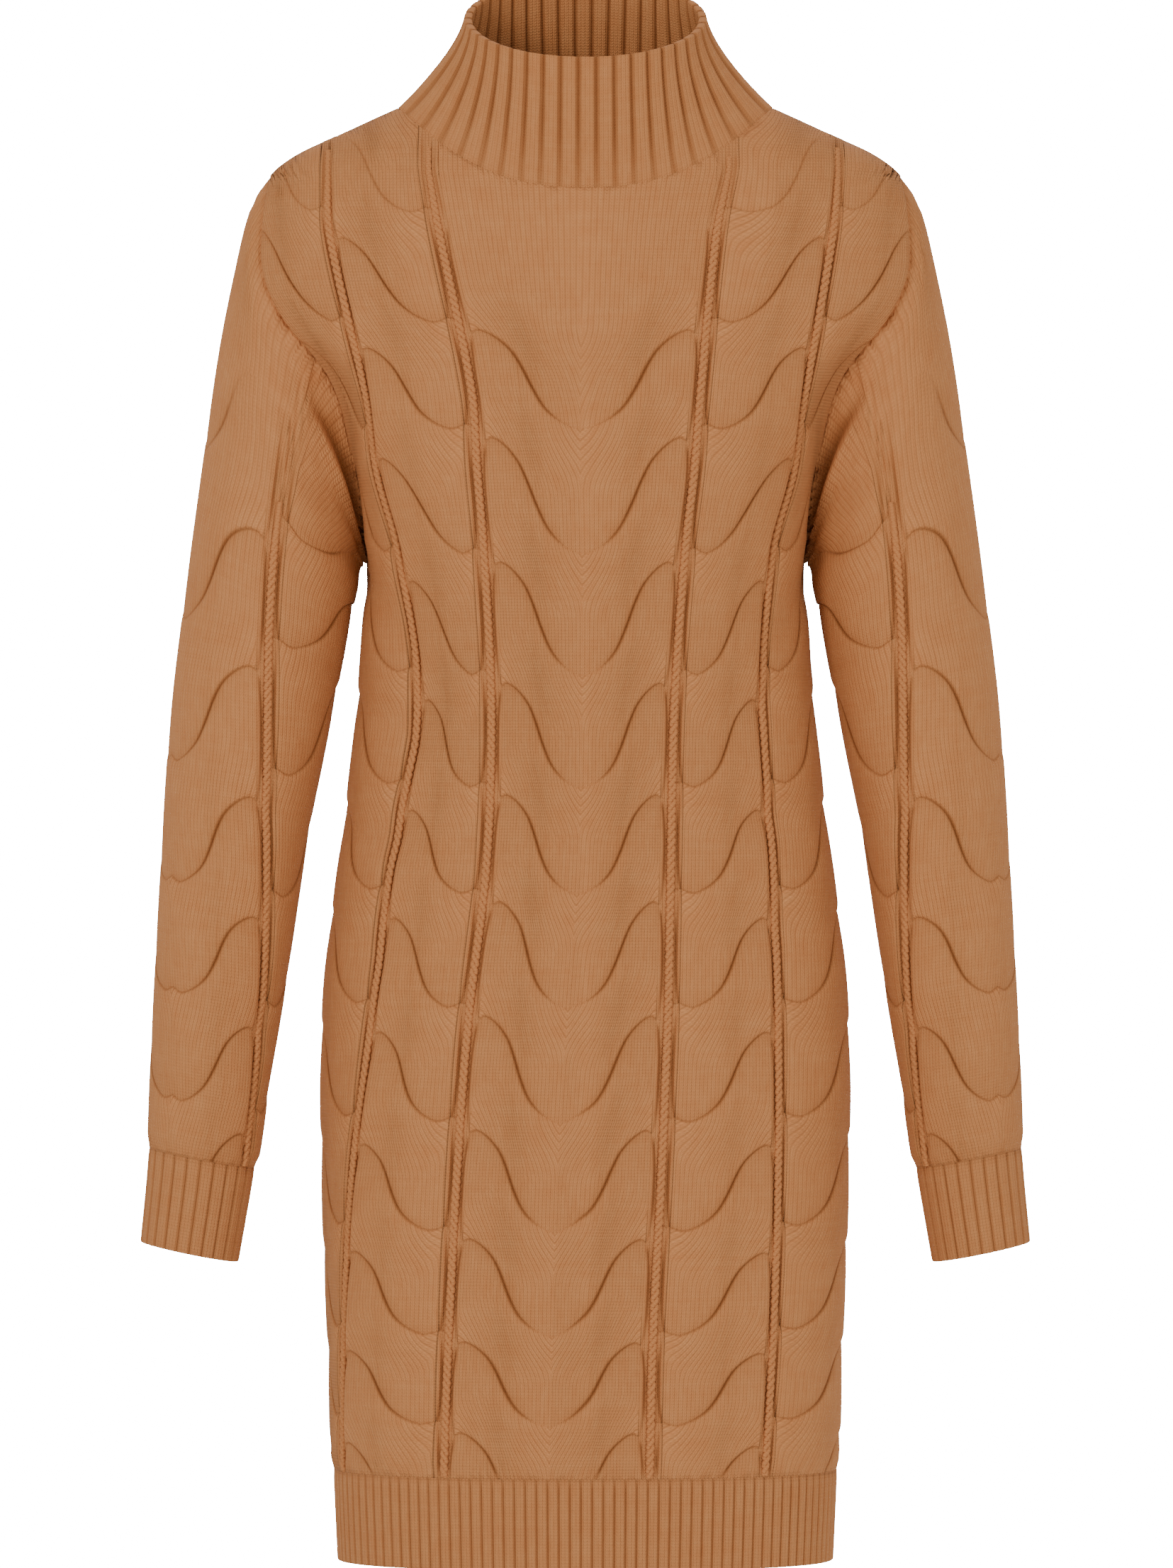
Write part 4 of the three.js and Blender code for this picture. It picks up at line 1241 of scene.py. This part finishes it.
def sleeve_surface(angle, level):
    angle, level = np.broadcast_arrays(np.asarray(angle, float), np.asarray(level, float))
    leave = np.clip((ARMHOLE_LEVEL - level) / (ARMHOLE_LEVEL - CAP_END_LEVEL), 0, 1)
    bend = armhole_point(angle) - ring_point(angle, np.full_like(level, ARMHOLE_LEVEL))
    return ring_point(angle, level) + bend * ((1 - leave) ** 2)[..., None]


def sleeve_normal(angle, level):
    angle, level = np.broadcast_arrays(np.asarray(angle, float), np.asarray(level, float))
    middle = (ring_point(angle * 0, level) + ring_point(angle * 0 + np.pi, level)) / 2
    return outward(sleeve_surface, angle, level, middle)


def armhole_frame(angle):
    """The body's normal on the armhole seam, and the way off the seam square to it."""
    step = 0.02
    z = ARMHOLE_LEVEL + ARMHOLE_TILT * np.cos(angle)
    edge = edge_angle(z)
    on_back = (np.sin(angle) < 0)[..., None]
    normal = np.where(on_back, body_normal("back", edge, z), body_normal("front", edge, z))
    seam = armhole_point(angle - step) - armhole_point(angle + step)
    away = unit(np.cross(seam, normal))
    away = np.where((away[..., 1:2] < 0) != on_back, -away, away)
    flat = np.abs(np.sin(angle))[..., None]
    return normal, away * smoothstep(flat, 0.0, 0.15)


# %% Knit a sleeve
SLEEVE_STRIPS = [
    Strip(0, ROPE_EDGE, False, SLEEVE_DROP),
    Strip(ROPE_EDGE, np.pi - ROPE_EDGE),
    Strip(np.pi - ROPE_EDGE, np.pi, False, SLEEVE_DROP),
    Strip(np.pi, np.pi + ROPE_EDGE, True, SLEEVE_DROP),
    Strip(np.pi + ROPE_EDGE, 2 * np.pi - ROPE_EDGE),
    Strip(2 * np.pi - ROPE_EDGE, 2 * np.pi, True, SLEEVE_DROP),
]
sleeve_columns = strip_columns(SLEEVE_STRIPS)
SLEEVE_WALES = 4 * WALES_PER_CABLE + 2 * WALES_PER_ROPE
SLEEVE_PLAN = row_plan(1, 10)


def twist_at(level):
    return TWIST * smoothstep(-level, -TWIST_FROM, -TWIST_TO)


def sleeve_base(angle, level):
    """The base of the sleeve's cloth, tucked a little under the panels at the armhole, and its normal."""
    turned = angle + twist_at(level)
    base = sleeve_surface(turned, level)
    normal = sleeve_normal(turned, level)
    at_seam = (1 - smoothstep(ARMHOLE_LEVEL - level, 0, TUCK_REACH))[..., None]
    body_side, away = armhole_frame(turned)
    base = base - at_seam * (body_side * TUCK_DEPTH + away * TUCK_WIDTH)
    over_body = np.maximum(np.sum((normal - body_side) * away, axis=-1, keepdims=True), 0)
    return base, unit(normal - at_seam * over_body * away)


CAP_PUSH = table("from_groove push", [
    (-16, 0),
    (-7, -0.6),
    (0, -4.0),
    (7, -0.4),
    (13, 1.9),
    (21, -0.8),
    (30, 1.4),
    (44, 0.7),
    (62, 0),
])
GROOVE = table("z from_seam", [
    (-262, 2.5),
    (-240, 6),
    (-212, 12),
    (-185, 16),
    (-160, 18),
])
cap_push = curve(CAP_PUSH, "from_groove", "push")
groove_place = curve(GROOVE, "z", "from_seam")
SLEEVE_FOLDS = {
    "front": table("x z turn length width depth", [
        (168, -226, 44, 74, 9, 3.2),
        (160, -262, 30, 60, 8, 2.4),
        (196, -252, 66, 90, 12, 1.8),
        (176, -330, 24, 56, 10, 1.8),
        (222, -318, 78, 70, 12, 1.4),
        (196, -428, 18, 60, 11, 1.5),
        (232, -470, 70, 80, 12, 1.3),
        (210, -560, 12, 56, 10, 1.3),
        (238, -608, 22, 50, 9, 1.2),
    ]),
    "back": table("x z turn length width depth", [
        (166, -230, 48, 70, 10, 3.0),
        (158, -268, 28, 62, 9, 2.2),
        (200, -262, 60, 84, 12, 1.8),
        (186, -340, 20, 66, 11, 2.0),
        (204, -414, 14, 72, 12, 2.2),
        (198, -452, 8, 60, 10, 1.8),
        (226, -520, 26, 66, 11, 1.4),
        (214, -586, 16, 58, 10, 1.4),
    ]),
}


def from_groove(level, base):
    """Millimetres down the sleeve from the dark groove that leaves the seam above the underarm."""
    return ARMHOLE_LEVEL - level - groove_place(base[..., 2])


def groove_strength(base):
    return smoothstep(-base[..., 2], *GROOVE_STARTS)


def sleeve_push(turned, level, base):
    from_seam = ARMHOLE_LEVEL - level
    on_front = np.sin(turned) >= 0
    inside = smoothstep(from_seam, 0, 20) * smoothstep(level - CUFF_LEVEL, 0, FOLDS_FREE)
    front = folds(SLEEVE_FOLDS["front"], base[..., 0], base[..., 2])
    back = folds(SLEEVE_FOLDS["back"], base[..., 0], base[..., 2])
    near_edge = smoothstep(np.abs(np.sin(turned)), 0.05, 0.4)
    groove = smoothstep(from_seam, 0, 4) * groove_strength(base) * cap_push(from_groove(level, base))
    return groove + np.where(on_front, front, back) * inside * near_edge


def sleeve_cloth(angle, level, height):
    """Points at a height above a sleeve's cloth, with its folds, and the normals and the base there."""
    base, normal = sleeve_base(angle, level)
    push = height + sleeve_push(angle + twist_at(level), level, base)
    return base + normal * push[..., None], normal, base


def knit_sleeve(side):
    work = Knitting(SLEEVE_PLAN, sleeve_columns)
    for c, column in enumerate(sleeve_columns):
        level = work.heights(c, SLEEVE_U, 0, ARMHOLE_LEVEL, CUFF_LEVEL)
        angle = np.full(len(level), mix(column.strip.start, column.strip.end, column.part))
        cabled = 1 - smoothstep(level, CABLED_BELOW, PLAIN_ABOVE)
        _, share = between_lines(SLEEVE_U, level, column.across, SLEEVE_DROP)
        height, dark, lean = column_relief(column, SLEEVE_U, level, 0, cabled)
        from_seam = ARMHOLE_LEVEL - level
        on_outside = bell(1 - np.cos(angle + twist_at(level)), OUTSIDE_WIDTH)
        height = mix(mix(PLAIN_HEIGHT, height, cabled), OUTSIDE_HEIGHT, OUTSIDE_SHARE * on_outside)
        height = mix(ARMHOLE_HEIGHT, height, smoothstep(from_seam, 0, SEAM_FADE))
        height = mix(SEAM_HEIGHT, height, smoothstep(level - CUFF_LEVEL, 0, HEM_SETTLE))
        points, _, base = sleeve_cloth(angle, level, height)
        # Painted shadow in the groove below the armhole seam, and painted shade along the seam itself.
        groove_dark = GROOVE_DARK * groove_strength(base) * bell(from_groove(level, base), GROOVE_WIDTH)
        seam_dark = np.maximum(ARMHOLE_SEAM_DARK * bell(from_seam, 2), groove_dark)
        dark = np.maximum(dark * cabled, seam_dark)
        work.fill(c, points, dark, lean * cabled, SLEEVE_LEAN * cabled, share, level)
    inner_angle = np.linspace(0, 2 * np.pi, 73)[:-1]
    angle, level = np.meshgrid(inner_angle, np.linspace(ARMHOLE_LEVEL, CUFF_LEVEL, INNER_ROWS))
    inner_knit = np.stack([angle / (2 * np.pi) * SLEEVE_WALES, level / COURSE], axis=-1)
    inner = Grid(sleeve_cloth(angle, level, -WALL)[0], inner_knit, ring=True, wales=SLEEVE_WALES)
    return wall(f"sleeve_cloth_{side}", f"sleeve_{side}", work.grid(True), inner, True, camel_cable,
                side == "left")


sleeve_cloths = [knit_sleeve(side) for side in ("right", "left")]

# %% [markdown]
# ## Ribs
# The collar, the hem and the cuffs are ribbed: columns of plain stitches stand up between columns of
# purl stitches, which sink into gutters that are painted with shade. All three are made by one rule,
# from the pitch of a rib and the width of the gutter between two of them.

# %% A ribbed band
COLLAR_RIBS = 42
COLLAR_PITCH = 10.4
COLLAR_LENGTH = 85
COLLAR_RIB_HEIGHT = 2.0
RIB_HEIGHT = 1.4
# How dark the painted shade in the gutters between ribs is: on the hem and cuffs, outside the collar and
# inside it.
RIB_DARK = 0.6
COLLAR_DARK = 0.68
COLLAR_INSIDE_DARK = 0.85
RIB_GUTTER_AT = 0.11
RIB_COLUMNS = np.array([0, 0.05, 0.11, 0.17, 0.23, 0.32, 0.5, 0.72, 0.86, 0.94])
EDGE_OFFSETS = np.array([0.3, 0.8, 1.5])
EDGE_ROUND = 1.6
EDGE_SINK = 0.9
BAND_ROWS = 12
# seam_dark is the share of the gutters' painted shade that is kept where the band meets its seam.
HEM = {"ribs": 61, "pitch": 6.8, "gutter": 0.8, "round": 1.3, "wales": 3, "top": HEM_RIB_TOP_Z,
       "foot": HEM_Z, "seam_dark": 0.5, "inner_columns": 2, "inner_rows": 5, "ring": False}
CUFF = {"ribs": 24, "pitch": 9.0, "gutter": 1.0, "round": 1.7, "wales": 4, "top": CUFF_LEVEL,
        "foot": CUFF_END_LEVEL, "seam_dark": 1, "inner_columns": 3, "inner_rows": 6, "ring": True}


def rib_shape(rib, pitch, gutter, radius):
    """Height from 0 to 1 of a rib, and the painted shade in its gutter, at a place counted in ribs."""
    share = np.mod(rib - RIB_GUTTER_AT, 1)
    distance = np.minimum(share, 1 - share) * pitch
    return rounded(np.maximum(distance - gutter / 3, 0), radius), bell(distance, 0.8 * gutter)


def rib_places(count, ring):
    """Columns that crowd towards the gutters, counted in ribs."""
    places = (np.arange(count)[:, None] + RIB_COLUMNS).ravel()
    return places if ring else np.append(places, count)


def edge_rows(length, count):
    """Shares from 0 to 1 that crowd towards 1, which is an open edge."""
    rows = np.linspace(0, 1, count)
    near = EDGE_OFFSETS / length
    return np.concatenate([rows[rows < 1 - near[-1]], 1 - near[::-1], [1]])


def edge_sink(distance):
    """How much lower the cloth is at a distance from an open edge, which is rounded."""
    return EDGE_SINK * (1 - rounded(distance, EDGE_ROUND))


def knit_band(name, node, band, surface, normal, angle_of, turned, mirrored=False):
    """A ribbed band that hangs from a seam: half a hem or a cuff."""
    top, foot, ribs, ring = band["top"], band["foot"], band["ribs"], band["ring"]
    inner_places = np.arange(band["inner_columns"] * ribs + (not ring)) / band["inner_columns"]
    grids = []
    for places, rows in ((rib_places(ribs, ring), edge_rows(top - foot, BAND_ROWS)),
                         (inner_places, np.linspace(0, 1, band["inner_rows"]))):
        place, share = np.meshgrid(places, rows)
        angle = angle_of(place / ribs)
        level = mix(top, foot, share)
        height = np.full_like(level, -WALL)
        painted_shade = np.zeros_like(level)
        if not grids:
            height, dark = rib_shape(place, band["pitch"], band["gutter"], band["round"])
            height = mix(SEAM_HEIGHT, height * RIB_HEIGHT, smoothstep(top - level, 0, 4))
            height = height - edge_sink(level - foot)
            painted_shade = RIB_DARK * (dark * mix(band["seam_dark"], 1, smoothstep(top - level, 0, 5)))
        points = surface(angle, level) + normal(angle, level) * height[..., None]
        knit = np.stack([place * band["wales"], level / COURSE], axis=-1)
        grids.append(Grid(points, knit, painted_shade=painted_shade, ring=ring, wales=band["wales"] * ribs))
    return wall(name, node, *grids, turned, camel_rib, mirrored)


# %% Hem and cuffs
def knit_hem(face):
    def angle_of(share):
        """The angle at a share of the hem's width, measured along the cloth."""
        angles = np.linspace(-np.pi / 2, np.pi / 2, 721)
        return np.interp(share, along(body_surface(face, angles, np.full(len(angles), HEM_Z))), angles)

    return knit_band(f"hem_cloth_{face}", f"hem_rib_{face}", HEM, lambda u, v: body_surface(face, u, v),
                     lambda u, v: body_normal(face, u, v), angle_of, face == "back")


def knit_cuff(side):
    return knit_band(f"cuff_cloth_{side}", f"cuff_{side}", CUFF, sleeve_surface, sleeve_normal,
                     lambda share: share * 2 * np.pi, True, side == "left")


hem_cloths = [knit_hem(face) for face in ("front", "back")]
cuff_cloths = [knit_cuff(side) for side in ("right", "left")]


# %% [markdown]
# ## Collar
# The collar is a tube that narrows from the neckline to its rim, and the rim is tilted, higher behind.
# Its ribs are closer together at the front of the neckline, so they fan out from there. The ribs stand
# up on the inside as well, which shows behind the opening.

# %% Places along the neckline
COLLAR = {"rim_half_width": 73, "rim_half_depth": 61, "rim_y": -6, "rim_z": 61, "rim_tilt": 29,
          "flare": 1.5, "spread": 0.72}
COLLAR_WALES = 4
COLLAR_ROWS = 34
COLLAR_INNER_ROWS = 20
COLLAR_GUTTER = 1.8
COLLAR_INNER_GUTTER = 1.5
COLLAR_ROUND = 1.8
BASE_FADE = 0.6
NECKLINE_LAP = 0.5
INSIDE_BASE = 1.2


def neckline(face):
    """Points, normals and the way up the cloth along one side's neckline, evenly spaced."""
    x = NECK_HALF_WIDTH * np.sin(np.linspace(-np.pi / 2, np.pi / 2, 400))
    z = np.array([top_edge(face, value) for value in x])
    angle = angle_at(x, z)
    points = body_surface(face, angle, z)
    normals = body_normal(face, angle, z)
    up = unit(body_surface(face, angle, z + 0.5) - body_surface(face, angle, z - 0.5))
    known = np.concatenate([points, normals, up], axis=1)
    share = along(points)

    def place(wanted):
        at = np.stack([np.interp(wanted, share, values) for values in known.T], axis=-1)
        return at[..., :3], at[..., 3:6], at[..., 6:]

    return place


neckline_front = neckline("front")
neckline_back = neckline("back")


def base_share(even):
    from_middle = 2 * even - 1
    return 0.5 + 0.5 * (COLLAR["spread"] * from_middle + (1 - COLLAR["spread"]) * from_middle**3)


def collar_base(part):
    on_front = (part < 0.5)[..., None]
    front = neckline_front(base_share(part * 2))
    back = neckline_back(base_share(2 - part * 2))
    return [np.where(on_front, a, b) for a, b in zip(front, back)]


def collar_surface(part, down):
    """The collar's base surface: part runs round it from the left neck point, down from rim to base."""
    part, down = np.broadcast_arrays(np.mod(part, 1), down)
    base, _, up = collar_base(part)
    base = base - up * NECKLINE_LAP
    angle = (2 * part - 0.5) * np.pi
    rim = np.stack([
        COLLAR["rim_half_width"] * np.sin(angle),
        COLLAR["rim_y"] - COLLAR["rim_half_depth"] * np.cos(angle),
        COLLAR["rim_z"] - COLLAR["rim_tilt"] * np.cos(angle),
    ], axis=-1)
    out = np.stack(np.broadcast_arrays(down ** COLLAR["flare"], down ** COLLAR["flare"], down), axis=-1)
    return mix(rim, base, out)


def collar_normal(part, down):
    step = 0.004
    low = np.clip(down + step, 0, 1)
    high = np.clip(down - step, 0, 1)
    round_it = collar_surface(part + step, down) - collar_surface(part - step, down)
    downwards = collar_surface(part, low) - collar_surface(part, high)
    own = unit(np.cross(downwards, round_it))
    _, seam, _ = collar_base(np.mod(part, 1))
    near = smoothstep(down, 0.93, 1)[..., None]
    return unit(mix(own, seam, near))


def knit_collar():
    grids = []
    for inside, rows, gutter in ((False, COLLAR_ROWS, COLLAR_GUTTER),
                                 (True, COLLAR_INNER_ROWS, COLLAR_INNER_GUTTER)):
        rows_down = 1 - edge_rows(COLLAR_LENGTH, rows)[::-1]
        place, down = np.meshgrid(rib_places(COLLAR_RIBS, True), rows_down)
        part = place / COLLAR_RIBS
        height, dark = rib_shape(place, COLLAR_PITCH, gutter, COLLAR_ROUND)
        height = height * COLLAR_RIB_HEIGHT
        if inside:
            height = height * (1 - smoothstep(down, 0.8, 0.95))
            dark = COLLAR_INSIDE_DARK * dark
        else:
            fade = mix(1, BASE_FADE, smoothstep(down, 0.5, 1))
            height = mix(height * fade, SEAM_HEIGHT, smoothstep(down, 0.95, 1))
            dark = COLLAR_DARK * dark * fade
        height = height - edge_sink(down * COLLAR_LENGTH)
        if inside:
            height = -(INSIDE_BASE + height)
        points = collar_surface(part, down) + collar_normal(part, down) * height[..., None]
        knit = np.stack([place * COLLAR_WALES, -down * COLLAR_LENGTH / COURSE], axis=-1)
        grids.append(Grid(points, knit, painted_shade=dark, ring=True, wales=COLLAR_WALES * COLLAR_RIBS))
    return wall("collar_cloth", "collar", *grids, False, camel_rib)


collar_cloth = knit_collar()

# %% [markdown]
# ## Twisted ropes
# Between two cables runs a narrow column of two small groups of stitches that cross every few courses.
# It looks like a two-ply rope lying in a groove. It follows a path and repeats along it, so Geometry
# Nodes suit it: the path is a row of points that carry the cloth's own normal, and the tree winds two
# strands round it. The strands get thinner where the rope ends at a seam.

# %% A tree that winds two strands round a path
def rope_tree():
    tree = bpy.data.node_groups.new("two_ply_rope", "GeometryNodeTree")
    sockets = {"Path": "Geometry", "Step": "Float", "Pitch": "Float", "Half width": "Float",
               "Half height": "Float", "Strand radius": "Float", "Material": "Material"}
    for name, kind in sockets.items():
        tree.interface.new_socket(name=name, in_out="INPUT", socket_type=f"NodeSocket{kind}")
    tree.interface.new_socket(name="Geometry", in_out="OUTPUT", socket_type="NodeSocketGeometry")
    graph = Graph(tree)
    given = tree.nodes.new("NodeGroupInput")
    value = {name: Value(graph, given.outputs[name]) for name in sockets}

    def stored(name, kind="FLOAT"):
        return graph.node("GeometryNodeInputNamedAttribute", {"data_type": kind}, {"Name": name})

    path = graph.node("GeometryNodeMeshToCurve", {}, {"Mesh": value["Path"]})
    path = graph.node("GeometryNodeResampleCurve", {"mode": "LENGTH"},
                      {"Curve": path, "Length": value["Step"]})
    out = stored("out", "FLOAT_VECTOR")
    size = stored("size")
    hand = stored("hand")
    side = graph.vector("CROSS_PRODUCT", graph.node("GeometryNodeInputTangent"), out)
    distance = graph.node("GeometryNodeSplineParameter", output="Length")
    ring = graph.node("GeometryNodeCurvePrimitiveCircle", {},
                      {"Resolution": STRAND_SIDES, "Radius": value["Strand radius"]})
    joined = tree.nodes.new("GeometryNodeJoinGeometry")
    for start in (0, np.pi):
        turn = hand * (distance / value["Pitch"]) * (2 * np.pi) + start
        sideways = graph.scaled(side, turn.cosine() * value["Half width"] * size)
        outwards = graph.scaled(out, turn.sine() * value["Half height"] * size)
        strand = graph.node("GeometryNodeSetPosition", {},
                            {"Geometry": path, "Offset": graph.vector("ADD", sideways, outwards)})
        strand = graph.node("GeometryNodeSetCurveRadius", {}, {"Curve": strand, "Radius": size})
        strand = graph.node("GeometryNodeStoreNamedAttribute", {"data_type": "FLOAT", "domain": "POINT"},
                            {"Geometry": strand, "Name": "stitches", "Value": distance})
        strand = graph.node("GeometryNodeCurveToMesh", {},
                            {"Curve": strand, "Profile Curve": ring, "Fill Caps": True})
        tree.links.new(strand.socket, joined.inputs[0])
    smooth = graph.node("GeometryNodeSetShadeSmooth", {}, {"Geometry": Value(graph, joined.outputs[0])})
    real = graph.node("GeometryNodeRealizeInstances", {}, {"Geometry": smooth})
    done = graph.node("GeometryNodeSetMaterial", {}, {"Geometry": real, "Material": value["Material"]})
    graph.node("NodeGroupOutput", {}, {"Geometry": done})
    return tree


def grow(name, mesh, tree, inputs):
    """Runs a tree on a mesh and keeps the result as a plain mesh that rides with the dress."""
    piece = add_object(name, mesh)
    modifier = piece.modifiers.new("tree", "NODES")
    modifier.node_group = tree
    for socket in tree.interface.items_tree:
        if socket.in_out == "INPUT" and socket.name in inputs:
            modifier[socket.identifier] = inputs[socket.name]
    grown = piece.evaluated_get(bpy.context.evaluated_depsgraph_get())
    plain = bpy.data.meshes.new_from_object(grown)
    piece.modifiers.clear()
    piece.data = plain
    tidy = bmesh.new()
    tidy.from_mesh(plain)
    if tidy.calc_volume(signed=True) < 0:
        bmesh.ops.reverse_faces(tidy, faces=tidy.faces)
    tidy.to_mesh(plain)
    tidy.free()
    return finish_piece(piece)


def strand_material(name, stitch_length):
    """The same yarn on a strand, whose stitches are counted along it, with painted shade between them."""
    material, graph, _, fibres = new_yarn(name)
    stitch = 0.5 + 0.5 * (graph.attribute("stitches") * (2 * np.pi / stitch_length)).cosine()
    lit = graph.blend(fibres * 0.7, CAMEL, CAMEL_LIGHT)
    # Painted shade between the stitches along the strand.
    colour = graph.blend((1 - stitch) * 0.1 + 0.08, lit, CAMEL_SHADE)
    yarn_shader(graph, colour, fibres, stitch * 0.8 + fibres * 0.4, 0.8, 0.0006)
    return material


# %% The ropes' paths
ROPE_STEP = 1.4
ROPE_PITCH = 9.5
ROPE_HALF_WIDTH = 1.35
ROPE_HALF_HEIGHT = 0.5
STRAND_RADIUS = 1.6
STRAND_SIDES = 6
ROPE_CENTRE = 1.2
PATH_STEP = 5.0
END_ROOM = 0.8
ROPE_TOP = 9

two_ply_rope = rope_tree()
camel_strand = strand_material("camel_rope_yarn", COURSE * MM)


def wind_ropes(name, paths):
    """Winds a rope round each path. A path is its points, normals, sizes and hands."""
    points, out, size, hand = [np.concatenate(values) for values in zip(*paths)]
    ends = np.cumsum([len(path[0]) for path in paths])
    mesh = bpy.data.meshes.new(name)
    mesh.from_pydata((points * MM).tolist(), [(i - 1, i) for i in range(1, ends[-1]) if i not in ends], [])
    for key, kind, field, values in (("out", "FLOAT_VECTOR", "vector", out), ("size", "FLOAT", "value", size),
                                     ("hand", "FLOAT", "value", hand)):
        attribute = mesh.attributes.new(key, kind, "POINT")
        attribute.data.foreach_set(field, values.ravel().astype(np.float32))
    inputs = {"Step": ROPE_STEP * MM, "Pitch": ROPE_PITCH * MM, "Half width": ROPE_HALF_WIDTH * MM,
              "Half height": ROPE_HALF_HEIGHT * MM, "Strand radius": STRAND_RADIUS * MM,
              "Material": camel_strand}
    return grow(name, mesh, two_ply_rope, inputs)


def path_levels(top, foot):
    return np.linspace(top, foot + END_ROOM, int((top - foot) / PATH_STEP))


def body_rope_path(face, strip):
    middle = Column(strip, 0.5)
    top = column_top(face, middle) - ROPE_TOP
    z = path_levels(top, HEM_RIB_TOP_Z)
    near_end = smoothstep(top - z, 0, 60) * mix(0.4, 1, smoothstep(z - HEM_RIB_TOP_Z, 0, 8))
    points, normal = body_cloth(face, middle, z, top, ROPE_CENTRE * mix(0.1, 1, near_end))
    hand = 1 if strip.start.endswith("left") == (face == "front") else -1
    return points, normal, mix(0.35, 1, near_end), np.full(len(z), hand)


def sleeve_rope_path(angle, side):
    level = path_levels(ROPE_START, CUFF_LEVEL)
    size = mix(0.15, 1, smoothstep(ROPE_START - level, 0, 45))
    size = size * mix(0.4, 1, smoothstep(level - CUFF_LEVEL, 0, 8))
    points, normal, _ = sleeve_cloth(np.full(len(level), angle), level, ROPE_CENTRE)
    mirror = 1 if side == "right" else -1
    return points * (mirror, 1, 1), normal * (mirror, 1, 1), size, np.full(len(level), mirror)


for face in ("front", "back"):
    paths = [body_rope_path(face, strip) for strip in BODY_STRIPS if strip.is_rope]
    wind_ropes(f"{face}_ropes", paths)
for side in ("right", "left"):
    paths = [sleeve_rope_path(angle, side) for angle in (np.pi / 2, 3 * np.pi / 2)]
    wind_ropes(f"sleeve_ropes_{side}", paths)

# %% [markdown]
# ## What each piece was cut to
# A fully fashioned piece is knitted to its shape, so its flat size is the widest and longest of its
# outline, and its area is less than that rectangle. The sizes are half the girth of the filled-out
# dress for the panels and hems, and the whole girth for the tubes.

CAP_SHARE = 0.62
SHOULDER_WIDTH = 0.3


def girth(surface, reach, count):
    """The length along a surface over a range of angles, in metres."""
    return float(steps_along(surface(np.linspace(*reach, count))).sum()) * MM


def half_girth(face, z):
    edge = float(edge_angle(z))
    return girth(lambda angle: body_surface(face, angle, z), (-edge, edge), 91)


def sleeve_girth(level):
    return girth(lambda angle: sleeve_surface(angle, level), (0, 2 * np.pi), 181)


def declare(cloth, width, height, area=None):
    """Prints a cloth's flat width and its height, given in millimetres, both in metres. The area is
    not used.
    """
    print(cloth.name, "flat", round(width, 3), "by", round(height * MM, 3), "m")


def stacked_area(widths, heights):
    """The area under widths measured at heights in millimetres."""
    means = (np.array(widths[1:]) + widths[:-1]) / 2
    return float(np.sum(means * np.abs(np.diff(heights * MM))))


panel_z = np.linspace(SHOULDER_TIP_Z, HEM_RIB_TOP_Z, 60)
for face, cloth in (("front", front_cloth), ("back", back_cloth)):
    widths = [half_girth(face, z) for z in panel_z]
    shoulders = 0.5 * max(widths[0], SHOULDER_WIDTH) * (NECK_POINT_Z - SHOULDER_TIP_Z) * MM
    declare(cloth, max(widths), NECK_POINT_Z - HEM_RIB_TOP_Z, stacked_area(widths, panel_z) + shoulders)
sleeve_levels = np.linspace(CAP_END_LEVEL, CUFF_LEVEL, 40)
for cloth in sleeve_cloths:
    widths = [sleeve_girth(level) for level in sleeve_levels]
    cap = CAP_SHARE * max(widths) * (SHOULDER_TIP_Z - CAP_END_LEVEL) * MM
    declare(cloth, max(widths), SHOULDER_TIP_Z - CUFF_LEVEL, stacked_area(widths, sleeve_levels) + cap)
for face, cloth in zip(("front", "back"), hem_cloths):
    declare(cloth, half_girth(face, HEM_Z), HEM_RIB_TOP_Z - HEM_Z)
for cloth in cuff_cloths:
    declare(cloth, sleeve_girth(CUFF_LEVEL), CUFF_LEVEL - CUFF_END_LEVEL)
declare(collar_cloth, girth(lambda part: collar_surface(part, 0.5), (0, 1), 200), COLLAR_LENGTH)
